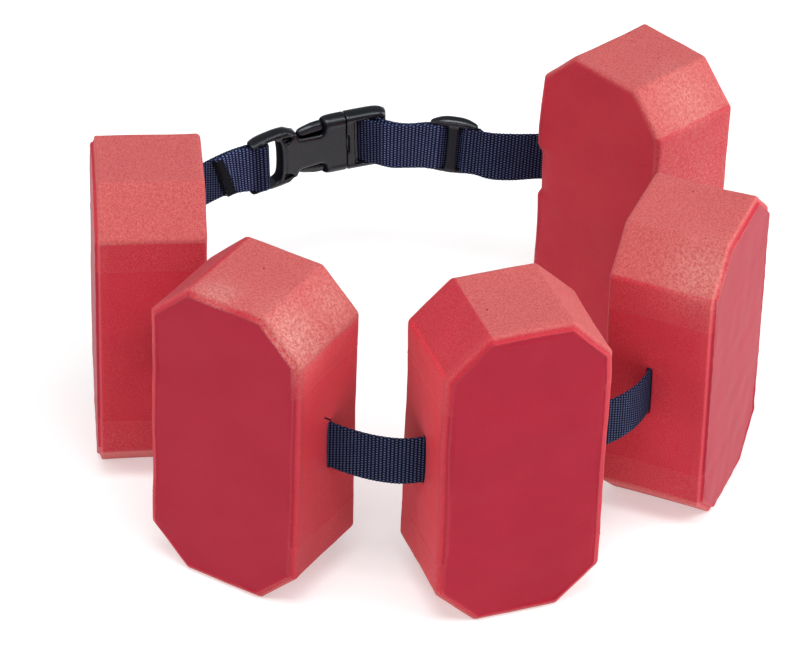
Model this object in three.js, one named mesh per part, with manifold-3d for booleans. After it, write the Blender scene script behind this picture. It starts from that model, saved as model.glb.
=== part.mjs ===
// Swim belt: five upright foam floats threaded on one webbing strap, closed at the back by a
// side-release buckle and a three-bar slider. Millimetres, +Z up, standing on z = 0, buckle at +Y.
import * as THREE from "three";
import { mergeVertices } from "three/addons/utils/BufferGeometryUtils.js";
import { TessellateModifier } from "three/addons/modifiers/TessellateModifier.js";
import Module from "manifold-3d";

const wasm = await Module();
wasm.setup();

const FLOAT_HEIGHT = 155.5;
const FLOAT_WIDTH = 77.5;
const FLOAT_THICKNESS = 50;
const CORNER_CUT = 19;
const CORNER_ROUND = 3;
const WEB_WIDTH = 25;
const WEB_THICKNESS = 1.5;
const GAP = 0.3;
const SLIT_PLAY = 0.35;
const ARC_STEP = THREE.MathUtils.degToRad(20);
const UP = new THREE.Vector3(0, 0, 1);

// Where each float stands: plan position of its middle, turn about the upright axis, the tilt
// that lifts its end farther along the strap, and how far inwards of its middle the slit is cut.
const FLOATS = [
  { name: "float_left", x: -127.5, y: -4, turn: -83.5, tilt: 0, slit: 2.2 },
  { name: "float_front_left", x: -74.5, y: -93.5, turn: -30, tilt: 0, slit: 3 },
  { name: "float_front_right", x: 37, y: -105, turn: 20.5, tilt: 0, slit: 0 },
  { name: "float_right", x: 119, y: -26.5, turn: 68.5, tilt: 3, slit: 3.7 },
  { name: "float_back", x: 97.5, y: 97.5, turn: 134, tilt: 0, slit: 0 },
];

// The float's edges from its inner face to its outer face: how far in each outline lies.
const FLOAT_EDGES = [
  { depth: 0, inset: 2.2 },
  { depth: 0.6, inset: 0.8 },
  { depth: 2, inset: 0 },
  { depth: FLOAT_THICKNESS - 2.8, inset: 0 },
  { depth: FLOAT_THICKNESS - 1.9, inset: 0.4 },
  { depth: FLOAT_THICKNESS - 0.9, inset: 2.6 },
  { depth: FLOAT_THICKNESS, inset: 3.2 },
];

// Buckle, in its own axes: x along the strap from socket to plug with 0 at the seam between them,
// y up, z towards the inside of the belt. The whole buckle is curved along the belt, and its fork
// bends farther inwards.
const BUCKLE = { x: -41.5, y: 131.5, z: 80.1, turn: 20, pitch: 2.6, curve: 250 };
const FORK_BEND = { start: -22, rate: 0.003 };
const BUCKLE_THICKNESS = 8.4;
const BUCKLE_HALF_HEIGHT = 15.4;
const BUCKLE_EDGE = 1.6;
const STRAP_CLEAR = WEB_WIDTH / 2 + 0.4;
const SOCKET_BAR = { x: -44.9, z: 2.6, half_x: 1.7, half_z: 1.7 };
const PLUG_BAR = { x: 10.2, z: 0, half_x: 1.9, half_z: 1.7 };
const PLUG_END_BAR = { x: 19.2, z: -0.6, half_x: 1.9, half_z: 2.8 };
const BAR_ROUND = 1.6;
const PLUG_LENGTH = 21.3;
const PLUG_SLOT_START = 4.3;
const PLUG_LEDGE = { end: 6.2, low: -4.1, high: 2 };
const SOCKET_CAVITY = { half_y: 12.7, half_z: 2.6, window: -11.3, end: -24.6 };
const ARM_HALF_Z = 2.2;
const TONGUE = { tip: -21, root: 2, half_y: 2 };
const SEAM_NOTCH = { depth: 1.2, half_y: 5.2 };
const SEAM_OVERLAP = 3;

// Outline of the socket's body above its middle line, from the mouth back to the strap frame.
const SOCKET_BODY = [
  { x: SEAM_OVERLAP, y: BUCKLE_HALF_HEIGHT, round: 0 },
  { x: -10.6, y: BUCKLE_HALF_HEIGHT, round: 4.5 },
  { x: -12.2, y: 8.4, round: 1.7 },
  { x: -24.2, y: 9, round: 1.7 },
  { x: -26, y: 12.6, round: 0 },
  { x: -33, y: 13.2, round: 0 },
];

// Outline of the socket's fork above its middle line: outside, tip and inside of one arm.
const SOCKET_FORK = [
  { x: -26.5, y: 11.2, round: 0 },
  { x: -31, y: 15.2, round: 5 },
  { x: -41, y: 15.7, round: 12 },
  { x: -51.3, y: 14.7, round: 0.9 },
  { x: -51.3, y: STRAP_CLEAR, round: 0.9 },
  { x: -34.6, y: STRAP_CLEAR, round: 3.5 },
];
const FORK_EDGE = 0.6;

// The three-cornered pocket in the socket's inner face above its middle line.
const SOCKET_POCKET = [
  { x: -31.8, y: 12.6, round: 0.7 },
  { x: -26.8, y: 11.6, round: 0.7 },
  { x: -30.8, y: 8.4, round: 0.7 },
];
const POCKET_DEPTH = 3;

// One spring arm of the plug: its root at the base, its head in the socket's side window.
const PLUG_ARM = [
  { x: 2, y: 8.4, round: 0 },
  { x: 2, y: 12.2, round: 0 },
  { x: -10.9, y: 12.2, round: 0.6 },
  { x: -12.4, y: 14, round: 1 },
  { x: -17, y: 13.6, round: 3 },
  { x: -23.7, y: 11.2, round: 1.2 },
  { x: -22.5, y: 9, round: 0.8 },
  { x: -12, y: 10, round: 2 },
  { x: -8, y: 8.4, round: 2 },
];

// The webbing's way through the plug: in by the first slot, and out by the second.
const PLUG_WAY_IN = [{ x: 13.4, z: 6.4 }];
const PLUG_WAY_OUT = [
  { x: 12.4, z: -2.5 },
  { x: 14, z: -0.4 },
  { x: 16, z: 3.6 },
];

// Slider, in its own axes: x along the strap, y up, z towards the inside of the belt.
const SLIDER = { x: 11.5, y: 132.6, z: 79.2, turn: -6, pitch: -2.6, lean: 1 };
const SLIDER_HALF_LENGTH = 10.9;
const SLIDER_CROWN = { half_x: 4.5, y: 15.2, round: 7 };
const SLIDER_SIDE_BAR = { x: 9.65, z: 0, half_x: 1.25, half_z: 1.3 };
const SLIDER_BRIDGE = { half_x: 2.6, half_z: 1.3, raised: 3.2 };
const SLIDER_BRIDGE_ROOT = { half_x: 3.1, y: 13.7, start: 11 };
const SLIDER_RAIL = { inner: 12.8, end: 14.1, low: -1.4, upper: 4.5, lower: 3.2 };
const SLIDER_RAIL_EDGE = 0.5;
const SLIDER_RISE = { start: 2.6, length: 4.8 };
const SLIDER_REACH = 12.5;
const LAYER_STEP = 2.5;

// The strap's free runs at the back: plan position, height of its middle and how far its upper
// edge leans outwards.
const RUN_FLOAT_TO_SLIDER = [
  { x: 65.5, y: 127.4, z: 77.2, lean: 1 },
  { x: 54, y: 127.9, z: 77.1, lean: 4 },
  { x: 41, y: 125.6, z: 77.6, lean: 9 },
  { x: 30.5, y: 124.6, z: 78.4, lean: 8 },
];
const RUN_SLIDER_TO_PLUG = [
  { x: -11, y: 128, z: 79.9, lean: -2 },
  { x: -18, y: 127.4, z: 80.2, lean: 0 },
];
const RUN_PLUG_TO_SLIDER = [
  { x: -16.6, y: 130.6, z: 79.7, lean: 0 },
  { x: -10.4, y: 130.7, z: 79.3, lean: -1 },
];
const RUN_TAIL = [{ x: 25.4, y: 127.9, z: 78, lean: 2 }];
const RUN_SOCKET_TO_FLOAT = [
  { x: -87, y: 109.4, z: 77.7, lean: 0 },
  { x: -93.3, y: 105.9, z: 77.4, lean: 0 },
  { x: -98.9, y: 101.2, z: 77.5, lean: 0 },
  { x: -107.6, y: 92.4, z: 77.5, lean: 0 },
  { x: -118.6, y: 78.5, z: 77.5, lean: 0 },
  { x: -128, y: 59.5, z: 77.5, lean: 0 },
];
const RUN_SEWN_END = [
  { x: -99.4, y: 98.1, z: 77.5, lean: 0 },
  { x: -92.2, y: 104.3, z: 77.5, lean: 0 },
  { x: -87, y: 106, z: 77.7, lean: 0 },
  { x: -83, y: 106.1, z: 77.8, lean: 0 },
];
const RUN_SEAM = [
  { x: -99.9, y: 98.95, z: 77.5, lean: 0 },
  { x: -96.8, y: 101.6, z: 77.4, lean: 0 },
];

// How full the webbing's bow is between each float and the next.
const BOW_FULLNESS = [0.5, 1, 1, 1];

function solidOf(geometry) {
  const bare = geometry.clone();
  bare.deleteAttribute("normal");
  bare.deleteAttribute("uv");
  const merged = mergeVertices(bare, 1e-4);
  const triVerts = new Uint32Array(merged.index.array);
  const vertProperties = new Float32Array(merged.attributes.position.array);
  return new wasm.Manifold(new wasm.Mesh({ numProp: 3, vertProperties, triVerts }));
}

function geometryOf(solid) {
  const mesh = solid.getMesh();
  const geometry = new THREE.BufferGeometry();
  geometry.setAttribute("position", new THREE.BufferAttribute(mesh.vertProperties, 3));
  geometry.setIndex(new THREE.BufferAttribute(mesh.triVerts, 1));
  return geometry;
}

function boxSolid(lowX, highX, lowY, highY, lowZ, highZ) {
  const box = new THREE.BoxGeometry(highX - lowX, highY - lowY, highZ - lowZ);
  box.translate((lowX + highX) / 2, (lowY + highY) / 2, (lowZ + highZ) / 2);
  return solidOf(box);
}

// A closed outline whose corners are arcs, each of its own radius.
function roundedPoints(corners) {
  return corners.flatMap((corner, i) => {
    const here = new THREE.Vector2(corner.x, corner.y);
    if (!corner.round) return [here];
    const before = corners[(i + corners.length - 1) % corners.length];
    const after = corners[(i + 1) % corners.length];
    const back = new THREE.Vector2(before.x, before.y).sub(here);
    const on = new THREE.Vector2(after.x, after.y).sub(here);
    const room = 0.48 * Math.min(back.length(), on.length());
    back.normalize();
    on.normalize();
    const turn = Math.PI - Math.acos(THREE.MathUtils.clamp(back.dot(on), -1, 1));
    const reach = Math.min(corner.round * Math.tan(turn / 2), room);
    const radius = reach / Math.tan(turn / 2);
    const middle = back.clone().add(on).normalize();
    const centre = here.clone().addScaledVector(middle, radius / Math.cos(turn / 2));
    const start = here.clone().addScaledVector(back, reach).sub(centre);
    const side = Math.sign(on.cross(back));
    const steps = Math.max(2, Math.ceil(turn / ARC_STEP));
    return Array.from({ length: steps + 1 }, (_, k) => {
      const angle = (side * turn * k) / steps;
      return start.clone().rotateAround(new THREE.Vector2(), angle).add(centre);
    });
  });
}

function roundedShape(corners) {
  return new THREE.Shape(roundedPoints(corners));
}

function mirrored(rows) {
  const below = rows.map((row) => ({ ...row, y: -row.y })).reverse();
  return [...rows, ...below];
}

// A plate of the given outline between two depths, its edges rounded over.
function plateSolid(corners, low, high, edge) {
  const geometry = new THREE.ExtrudeGeometry(roundedShape(corners), {
    depth: high - low - 2 * edge,
    bevelThickness: edge,
    bevelSize: edge,
    bevelOffset: -edge,
    bevelSegments: 2,
  });
  geometry.translate(0, 0, low + edge);
  return solidOf(geometry);
}

function rectangle(lowX, highX, lowY, highY, round) {
  return [
    { x: lowX, y: lowY, round },
    { x: highX, y: lowY, round },
    { x: highX, y: highY, round },
    { x: lowX, y: highY, round },
  ];
}

// An upright bar of rounded section at (bar.x, bar.z), reaching the same way above and below the middle.
function barSolid(bar, halfHeight) {
  const round = Math.min(BAR_ROUND, bar.half_x, bar.half_z);
  const section = rectangle(-bar.half_x, bar.half_x, -bar.half_z, bar.half_z, round);
  const options = { depth: 2 * halfHeight, bevelEnabled: false };
  const geometry = new THREE.ExtrudeGeometry(roundedShape(section), options);
  geometry.rotateX(Math.PI / 2);
  geometry.translate(bar.x, halfHeight, bar.z);
  return solidOf(geometry);
}

// Floats

function floatMatrix(row) {
  const tilt = THREE.MathUtils.degToRad(row.tilt);
  const footHalf = FLOAT_WIDTH / 2 - CORNER_CUT;
  const height = (FLOAT_HEIGHT / 2) * Math.cos(tilt) + footHalf * Math.sin(Math.abs(tilt));
  const turn = new THREE.Euler(0, -tilt, THREE.MathUtils.degToRad(row.turn), "ZYX");
  const at = new THREE.Vector3(row.x, row.y, height);
  const rotation = new THREE.Quaternion().setFromEuler(turn);
  return new THREE.Matrix4().compose(at, rotation, new THREE.Vector3(1, 1, 1));
}

// The float's eight-sided outline, drawn in by an inset, with rounded corners.
function floatOutline(inset) {
  const halfWidth = FLOAT_WIDTH / 2 - inset;
  const halfHeight = FLOAT_HEIGHT / 2 - inset;
  const cut = CORNER_CUT - inset * (2 - Math.SQRT2);
  const round = CORNER_ROUND;
  const quarter = [
    { x: halfWidth, y: halfHeight - cut, round },
    { x: halfWidth - cut, y: halfHeight, round },
  ];
  const left = quarter.map((row) => ({ ...row, x: -row.x })).reverse();
  return roundedPoints(mirrored([...quarter, ...left]));
}

function floatSolid(slit) {
  const rings = FLOAT_EDGES.map((edge) => ({ ...edge, points: floatOutline(edge.inset) }));
  const count = rings[0].points.length;
  const positions = [];
  const faces = [];
  for (const ring of rings) {
    for (const point of ring.points) {
      positions.push(point.x, FLOAT_THICKNESS / 2 - ring.depth, point.y);
    }
  }
  for (let ring = 0; ring + 1 < rings.length; ring++) {
    for (let i = 0; i < count; i++) {
      const a = ring * count + i;
      const b = ring * count + ((i + 1) % count);
      faces.push(a, b, a + count, b, b + count, a + count);
    }
  }
  const outer = (rings.length - 1) * count;
  for (let i = 1; i + 1 < count; i++) {
    faces.push(0, i + 1, i);
    faces.push(outer, outer + i, outer + i + 1);
  }
  const geometry = new THREE.BufferGeometry();
  geometry.setAttribute("position", new THREE.Float32BufferAttribute(positions, 3));
  geometry.setIndex(faces);
  const solid = solidOf(geometry);
  const slitHalf = WEB_THICKNESS / 2 + SLIT_PLAY;
  const slitReach = WEB_WIDTH / 2 + SLIT_PLAY;
  const inner = slit + slitHalf;
  const outerSide = slit - slitHalf;
  return solid.subtract(
    boxSolid(-FLOAT_WIDTH, FLOAT_WIDTH, outerSide, inner, -slitReach, slitReach),
  );
}

// Buckle and slider placed on the belt

function placing(row) {
  const rad = THREE.MathUtils.degToRad;
  const alongFlat = new THREE.Vector3(Math.cos(rad(row.turn)), Math.sin(rad(row.turn)), 0);
  const along = alongFlat.multiplyScalar(Math.cos(rad(row.pitch)));
  along.addScaledVector(UP, Math.sin(rad(row.pitch)));
  const inside = new THREE.Vector3().crossVectors(along, UP).normalize();
  const up = new THREE.Vector3().crossVectors(inside, along);
  const matrix = new THREE.Matrix4().makeBasis(along, up, inside);
  matrix.multiply(new THREE.Matrix4().makeRotationX(-rad(row.lean ?? 0)));
  return matrix.setPosition(row.x, row.y, row.z);
}

const BUCKLE_MATRIX = placing(BUCKLE);
const SLIDER_MATRIX = placing(SLIDER);

function curved(point) {
  const past = Math.min(0, point.x - FORK_BEND.start);
  const angle = point.x / BUCKLE.curve;
  const radius = BUCKLE.curve - point.z - FORK_BEND.rate * past ** 2;
  const x = radius * Math.sin(angle);
  return new THREE.Vector3(x, point.y, BUCKLE.curve - radius * Math.cos(angle));
}

// A buckle half with its long edges broken up and bent to the buckle's curve, set on the belt.
function onBelt(solid) {
  const broken = new TessellateModifier(12, 12).modify(geometryOf(solid));
  const merged = mergeVertices(broken, 1e-3);
  const position = merged.attributes.position;
  for (let i = 0; i < position.count; i++) {
    const bent = curved(new THREE.Vector3().fromBufferAttribute(position, i));
    position.setXYZ(i, bent.x, bent.y, bent.z);
  }
  return merged.applyMatrix4(BUCKLE_MATRIX);
}

const half = BUCKLE_THICKNESS / 2;

function socketSolid() {
  const { half_y: cavityY, half_z: cavityZ, window, end } = SOCKET_CAVITY;
  const past = 1;
  let solid = plateSolid(mirrored(SOCKET_BODY), -half, half, BUCKLE_EDGE);
  solid = solid.add(plateSolid(mirrored(SOCKET_FORK), -half + 0.4, half - 0.4, FORK_EDGE));
  solid = solid.add(barSolid(SOCKET_BAR, STRAP_CLEAR + 1.2));
  const side = BUCKLE_HALF_HEIGHT + past;
  solid = solid.subtract(boxSolid(0, 2 * SEAM_OVERLAP, -side, side, -BUCKLE_THICKNESS, BUCKLE_THICKNESS));
  solid = solid.subtract(boxSolid(window - past, past, -cavityY, cavityY, -cavityZ, cavityZ));
  solid = solid.subtract(boxSolid(end, window, -side, side, -cavityZ, cavityZ));
  const upper = [...SOCKET_POCKET].reverse();
  const lower = SOCKET_POCKET.map((row) => ({ ...row, y: -row.y }));
  for (const corners of [upper, lower]) {
    const options = { depth: POCKET_DEPTH + past, bevelEnabled: false };
    const geometry = new THREE.ExtrudeGeometry(roundedShape(corners), options);
    solid = solid.subtract(solidOf(geometry.translate(0, 0, half - POCKET_DEPTH)));
  }
  return solid;
}

function plugSolid() {
  const base = GAP + 0.05;
  const outline = [
    { x: base - SEAM_OVERLAP, y: BUCKLE_HALF_HEIGHT, round: 0 },
    { x: base - SEAM_OVERLAP, y: -BUCKLE_HALF_HEIGHT, round: 0 },
    { x: PLUG_LENGTH, y: -BUCKLE_HALF_HEIGHT, round: 5.5 },
    { x: PLUG_LENGTH, y: BUCKLE_HALF_HEIGHT, round: 5.5 },
  ];
  let solid = plateSolid(outline, -half, half, BUCKLE_EDGE);
  const reach = BUCKLE_HALF_HEIGHT + 1;
  const behind = base - 2 * SEAM_OVERLAP;
  solid = solid.subtract(boxSolid(behind, base, -reach, reach, -BUCKLE_THICKNESS, BUCKLE_THICKNESS));
  const slotEnd = PLUG_LENGTH + BUCKLE_THICKNESS;
  const slot = rectangle(PLUG_SLOT_START, slotEnd, -STRAP_CLEAR, STRAP_CLEAR, 1.2);
  const options = { depth: 2 * BUCKLE_THICKNESS, bevelEnabled: false };
  const slotGeometry = new THREE.ExtrudeGeometry(roundedShape(slot), options);
  solid = solid.subtract(solidOf(slotGeometry.translate(0, 0, -BUCKLE_THICKNESS)));
  const { end: ledgeEnd, low: ledgeLow, high: ledgeHigh } = PLUG_LEDGE;
  const ledgeStart = PLUG_SLOT_START - 0.5;
  const ledgeHalf = STRAP_CLEAR + 0.5;
  solid = solid.add(
    boxSolid(ledgeStart, ledgeEnd, -ledgeHalf, ledgeHalf, ledgeLow, ledgeHigh),
  );
  solid = solid.add(barSolid(PLUG_BAR, STRAP_CLEAR + 1));
  solid = solid.add(barSolid(PLUG_END_BAR, STRAP_CLEAR + 1));
  const notchEnd = base + SEAM_NOTCH.depth;
  const notchHalf = SEAM_NOTCH.half_y;
  const notchLow = ARM_HALF_Z + 0.4;
  solid = solid.subtract(boxSolid(-1, notchEnd, -notchHalf, notchHalf, notchLow, half + 1));
  for (const side of [1, -1]) {
    const arm = PLUG_ARM.map((row) => ({ ...row, y: side * row.y }));
    const corners = side > 0 ? arm : arm.reverse();
    solid = solid.add(plateSolid(corners, -ARM_HALF_Z, ARM_HALF_Z, 0.5));
  }
  const tongue = rectangle(TONGUE.tip, TONGUE.root, -TONGUE.half_y, TONGUE.half_y, 1);
  return solid.add(plateSolid(tongue, -ARM_HALF_Z, ARM_HALF_Z, 0.4));
}

function sliderSolid() {
  let solid = null;
  for (const side of [1, -1]) {
    const rail = [
      { x: -SLIDER_HALF_LENGTH, y: side * SLIDER_RAIL.inner, round: 0.7 },
      { x: SLIDER_HALF_LENGTH, y: side * SLIDER_RAIL.inner, round: 0.7 },
      { x: SLIDER_HALF_LENGTH, y: side * SLIDER_RAIL.end, round: 0.7 },
      { x: SLIDER_CROWN.half_x, y: side * SLIDER_CROWN.y, round: SLIDER_CROWN.round },
      { x: -SLIDER_CROWN.half_x, y: side * SLIDER_CROWN.y, round: SLIDER_CROWN.round },
      { x: -SLIDER_HALF_LENGTH, y: side * SLIDER_RAIL.end, round: 0.7 },
    ];
    const corners = side > 0 ? rail : rail.reverse();
    const high = side > 0 ? SLIDER_RAIL.upper : SLIDER_RAIL.lower;
    const plate = plateSolid(corners, SLIDER_RAIL.low, high, SLIDER_RAIL_EDGE);
    solid = solid ? solid.add(plate) : plate;
  }
  for (const side of [1, -1]) {
    const bar = { ...SLIDER_SIDE_BAR, x: side * SLIDER_SIDE_BAR.x };
    solid = solid.add(barSolid(bar, SLIDER_RAIL.inner + 0.7));
  }
  const root = SLIDER_BRIDGE_ROOT;
  const bridge = mirrored([
    { x: SLIDER_BRIDGE.half_x, y: root.start, round: 3 },
    { x: root.half_x, y: root.y, round: 0 },
    { x: -root.half_x, y: root.y, round: 0 },
    { x: -SLIDER_BRIDGE.half_x, y: root.start, round: 3 },
  ]);
  const low = SLIDER_BRIDGE.raised - SLIDER_BRIDGE.half_z;
  return solid.add(plateSolid(bridge, low, low + 2 * SLIDER_BRIDGE.half_z, 0.8));
}

// Strap: a chain of knots, each a point on the webbing's middle line and the way its width points.

function buckleKnot(x, z) {
  const at = curved(new THREE.Vector3(x, 0, z)).applyMatrix4(BUCKLE_MATRIX);
  const up = new THREE.Vector3(0, 1, 0).transformDirection(BUCKLE_MATRIX);
  return { at, up };
}

function sliderKnot(x, z) {
  const at = new THREE.Vector3(x, 0, z).applyMatrix4(SLIDER_MATRIX);
  const up = new THREE.Vector3(0, 1, 0).transformDirection(SLIDER_MATRIX);
  return { at, up };
}

function runKnots(rows) {
  return rows.map((row) => {
    const lean = Math.tan(THREE.MathUtils.degToRad(row.lean));
    const outwards = new THREE.Vector3(row.x, row.y, 0).normalize();
    const up = UP.clone().addScaledVector(outwards, lean).normalize();
    return { at: new THREE.Vector3(row.x, row.y, row.z), up };
  });
}

// Knots in an arc round the edge of a bar that faces the given way, from one face to the other.
function wrapKnots(bar, direction, from, to) {
  const radius = bar.half_z + GAP + WEB_THICKNESS / 2;
  const edge = bar.x + direction * (bar.half_x - bar.half_z);
  const steps = 6;
  return Array.from({ length: steps + 1 }, (_, i) => {
    const angle = THREE.MathUtils.degToRad(from + ((to - from) * i) / steps);
    const x = edge + direction * radius * Math.cos(angle);
    return buckleKnot(x, bar.z + radius * Math.sin(angle));
  });
}

// The webbing's height in the slider: over the side bars, behind the bridge.
function sliderKnots(layer, fromX, toX) {
  const flat = SLIDER_SIDE_BAR.half_z + GAP + WEB_THICKNESS / 2 + LAYER_STEP;
  const under = SLIDER_BRIDGE.raised - SLIDER_BRIDGE.half_z - GAP - WEB_THICKNESS / 2;
  const steps = 20;
  return Array.from({ length: steps + 1 }, (_, i) => {
    const x = fromX + ((toX - fromX) * i) / steps;
    const past = Math.abs(x) - SLIDER_RISE.start;
    const rise = THREE.MathUtils.clamp(past / SLIDER_RISE.length, 0, 1);
    const share = 0.5 - 0.5 * Math.cos(Math.PI * rise);
    return sliderKnot(x, under + (flat - under) * share - layer * LAYER_STEP);
  });
}

function floatKnots(row) {
  const matrix = floatMatrix(row);
  const up = UP.clone().transformDirection(matrix);
  const reach = FLOAT_WIDTH / 2;
  return [-reach, -reach + 6, reach - 6, reach].map((x) => ({
    at: new THREE.Vector3(x, row.slit, 0).applyMatrix4(matrix),
    up: up.clone(),
  }));
}

// Knots of the bow the webbing makes between two floats, leaving and entering them square.
function bowKnots(from, to, fullness) {
  const [before, start] = from.slice(-2);
  const [end, after] = to;
  const length = fullness * start.at.distanceTo(end.at);
  const leave = start.at.clone().sub(before.at).setLength(length);
  const enter = after.at.clone().sub(end.at).setLength(length);
  return [0.15, 0.3, 0.5, 0.7, 0.85].map((t) => {
    const at = start.at.clone().multiplyScalar(2 * t ** 3 - 3 * t ** 2 + 1);
    at.addScaledVector(leave, t ** 3 - 2 * t ** 2 + t);
    at.addScaledVector(end.at, -2 * t ** 3 + 3 * t ** 2);
    at.addScaledVector(enter, t ** 3 - t ** 2);
    return { at, up: start.up.clone().lerp(end.up, t).normalize() };
  });
}

function strapKnots() {
  const throughFloats = FLOATS.map(floatKnots);
  const ring = throughFloats.flatMap((knots, i) => {
    const next = throughFloats[i + 1];
    return next ? [...knots, ...bowKnots(knots, next, BOW_FULLNESS[i])] : knots;
  });
  return [
    ...runKnots(RUN_SEWN_END),
    ...wrapKnots(SOCKET_BAR, 1, 125, -70),
    ...runKnots(RUN_SOCKET_TO_FLOAT),
    ...ring,
    ...runKnots(RUN_FLOAT_TO_SLIDER),
    ...sliderKnots(0, SLIDER_REACH, -SLIDER_REACH),
    ...runKnots(RUN_SLIDER_TO_PLUG),
    ...PLUG_WAY_IN.map((row) => buckleKnot(row.x, row.z)),
    ...wrapKnots(PLUG_BAR, -1, 54, -90),
    ...PLUG_WAY_OUT.map((row) => buckleKnot(row.x, row.z)),
    ...runKnots(RUN_PLUG_TO_SLIDER),
    ...sliderKnots(1, -SLIDER_REACH, SLIDER_REACH),
    ...runKnots(RUN_TAIL),
  ];
}

function smoothed(knots) {
  const points = knots.map((knot) => knot.at);
  const curve = new THREE.CatmullRomCurve3(points, false, "centripetal");
  const out = [];
  for (let i = 0; i + 1 < knots.length; i++) {
    const length = points[i].distanceTo(points[i + 1]);
    const steps = length > 30 ? 1 : Math.max(1, Math.round(length / 3));
    for (let k = 0; k < steps; k++) {
      const share = k / steps;
      const at = curve.getPoint((i + share) / (knots.length - 1));
      out.push({ at, up: knots[i].up.clone().lerp(knots[i + 1].up, share).normalize() });
    }
  }
  out.push(knots[knots.length - 1]);
  return out;
}

// Flat webbing of the given thickness along the stations.
function ribbonGeometry(stations, width, thickness) {
  const positions = [];
  const faces = [];
  stations.forEach((station, i) => {
    const before = stations[Math.max(0, i - 1)].at;
    const after = stations[Math.min(stations.length - 1, i + 1)].at;
    const along = after.clone().sub(before).normalize();
    const flat = new THREE.Vector3().crossVectors(along, station.up).normalize();
    for (const [side, face] of [[1, 1], [-1, 1], [-1, -1], [1, -1]]) {
      const corner = station.at.clone();
      corner.addScaledVector(station.up, (side * width) / 2);
      corner.addScaledVector(flat, (face * thickness) / 2);
      positions.push(corner.x, corner.y, corner.z);
    }
  });
  for (let i = 0; i + 1 < stations.length; i++) {
    for (let k = 0; k < 4; k++) {
      const a = 4 * i + k;
      const b = 4 * i + ((k + 1) % 4);
      faces.push(a, b, a + 4, b, b + 4, a + 4);
    }
  }
  const end = 4 * (stations.length - 1);
  faces.push(0, 2, 1, 0, 3, 2, end, end + 1, end + 2, end, end + 2, end + 3);
  const geometry = new THREE.BufferGeometry();
  geometry.setAttribute("position", new THREE.Float32BufferAttribute(positions, 3));
  geometry.setIndex(faces);
  return geometry;
}

// The webbing with its sewn end joined on along the seam.
function strapGeometry() {
  const webbing = solidOf(ribbonGeometry(smoothed(strapKnots()), WEB_WIDTH, WEB_THICKNESS));
  const stitched = solidOf(ribbonGeometry(runKnots(RUN_SEAM), WEB_WIDTH - 1, 1.6));
  return geometryOf(webbing.add(stitched));
}

// Materials and the finished belt

const FOAM = new THREE.MeshStandardMaterial({ color: 0xb02a3e, roughness: 0.7, metalness: 0 });
const WEBBING = new THREE.MeshStandardMaterial({ color: 0x2a2f5c, roughness: 0.85, metalness: 0 });
const PLASTIC = new THREE.MeshStandardMaterial({ color: 0x2a2a2c, roughness: 0.45, metalness: 0 });

const belt = new THREE.Group();

function addPiece(name, geometry, material) {
  const mesh = new THREE.Mesh(geometry, material.clone());
  mesh.name = name;
  belt.add(mesh);
}

for (const row of FLOATS) {
  addPiece(row.name, geometryOf(floatSolid(row.slit)).applyMatrix4(floatMatrix(row)), FOAM);
}
addPiece("strap", strapGeometry(), WEBBING);
addPiece("buckle_socket", onBelt(socketSolid()), PLASTIC);
addPiece("buckle_plug", onBelt(plugSolid()), PLASTIC);
addPiece("slider", geometryOf(sliderSolid()).applyMatrix4(SLIDER_MATRIX), PLASTIC);

export default belt;
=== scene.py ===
"""Swim belt: foam floats, woven strap, side-release buckle and slider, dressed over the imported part."""
import math
from types import SimpleNamespace as Record

import bmesh
import bpy
import numpy as np
from mathutils import Matrix, Vector


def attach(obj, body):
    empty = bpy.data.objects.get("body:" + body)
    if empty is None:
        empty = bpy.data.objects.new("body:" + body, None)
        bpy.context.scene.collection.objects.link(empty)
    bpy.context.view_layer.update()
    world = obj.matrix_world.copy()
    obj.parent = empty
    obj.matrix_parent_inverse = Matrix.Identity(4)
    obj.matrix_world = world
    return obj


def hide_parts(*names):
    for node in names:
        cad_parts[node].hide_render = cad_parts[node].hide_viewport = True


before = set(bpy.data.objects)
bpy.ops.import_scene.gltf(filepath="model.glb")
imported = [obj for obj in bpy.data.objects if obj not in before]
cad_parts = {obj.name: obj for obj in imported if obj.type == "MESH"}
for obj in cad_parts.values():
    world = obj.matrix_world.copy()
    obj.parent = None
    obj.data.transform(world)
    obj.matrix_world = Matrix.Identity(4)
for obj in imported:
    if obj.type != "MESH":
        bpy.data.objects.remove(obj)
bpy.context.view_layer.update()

MM = 0.001

# Floats: sizes in mm, where each stands, and how far inwards from its middle its slit is cut.
FLOAT_HEIGHT = 155.5
FLOAT_WIDTH = 77.5
FLOAT_THICKNESS = 50.0
CORNER_CUT = 19.0
CORNER_ROUND = 3.0
FLOATS = [
    Record(name="float_left", x=-127.5, y=-4, turn=-83.5, tilt=0, seed=3, slit=2.2),
    Record(name="float_front_left", x=-74.5, y=-93.5, turn=-30, tilt=0, seed=5, slit=3),
    Record(name="float_front_right", x=37, y=-105, turn=20.5, tilt=0, seed=8, slit=0),
    Record(name="float_right", x=119, y=-26.5, turn=68.5, tilt=3, seed=13, slit=3.7),
    Record(name="float_back", x=97.5, y=97.5, turn=134, tilt=0, seed=21, slit=0),
]
# The eight facets round a float, counted from the upper cut corner on its +x side, and the steps along each.
ENDS = (1, 5)
SIDES = (3, 7)
FACET_STEPS = Record(corner=21, end=30, side=89)
ARC_STEPS = 4
# Mould lines across the sides: distance from the middle, close steps at them and the room these need.
MOULD_LINE = 42.0
MOULD_STEPS = (-0.7, -0.35, 0, 0.35, 0.7)
MOULD_ROOM = 0.5
# Rounding of the inner edge: depth from the inner face, inset, corner radius.
INNER_EDGE = [
    (0.0, 2.6, 2.4), (0.12, 1.8, 2.6), (0.4, 1.05, 2.8), (0.9, 0.45, 3.0), (1.6, 0.12, 3.0), (2.4, 0.0, 3.0),
]
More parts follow.
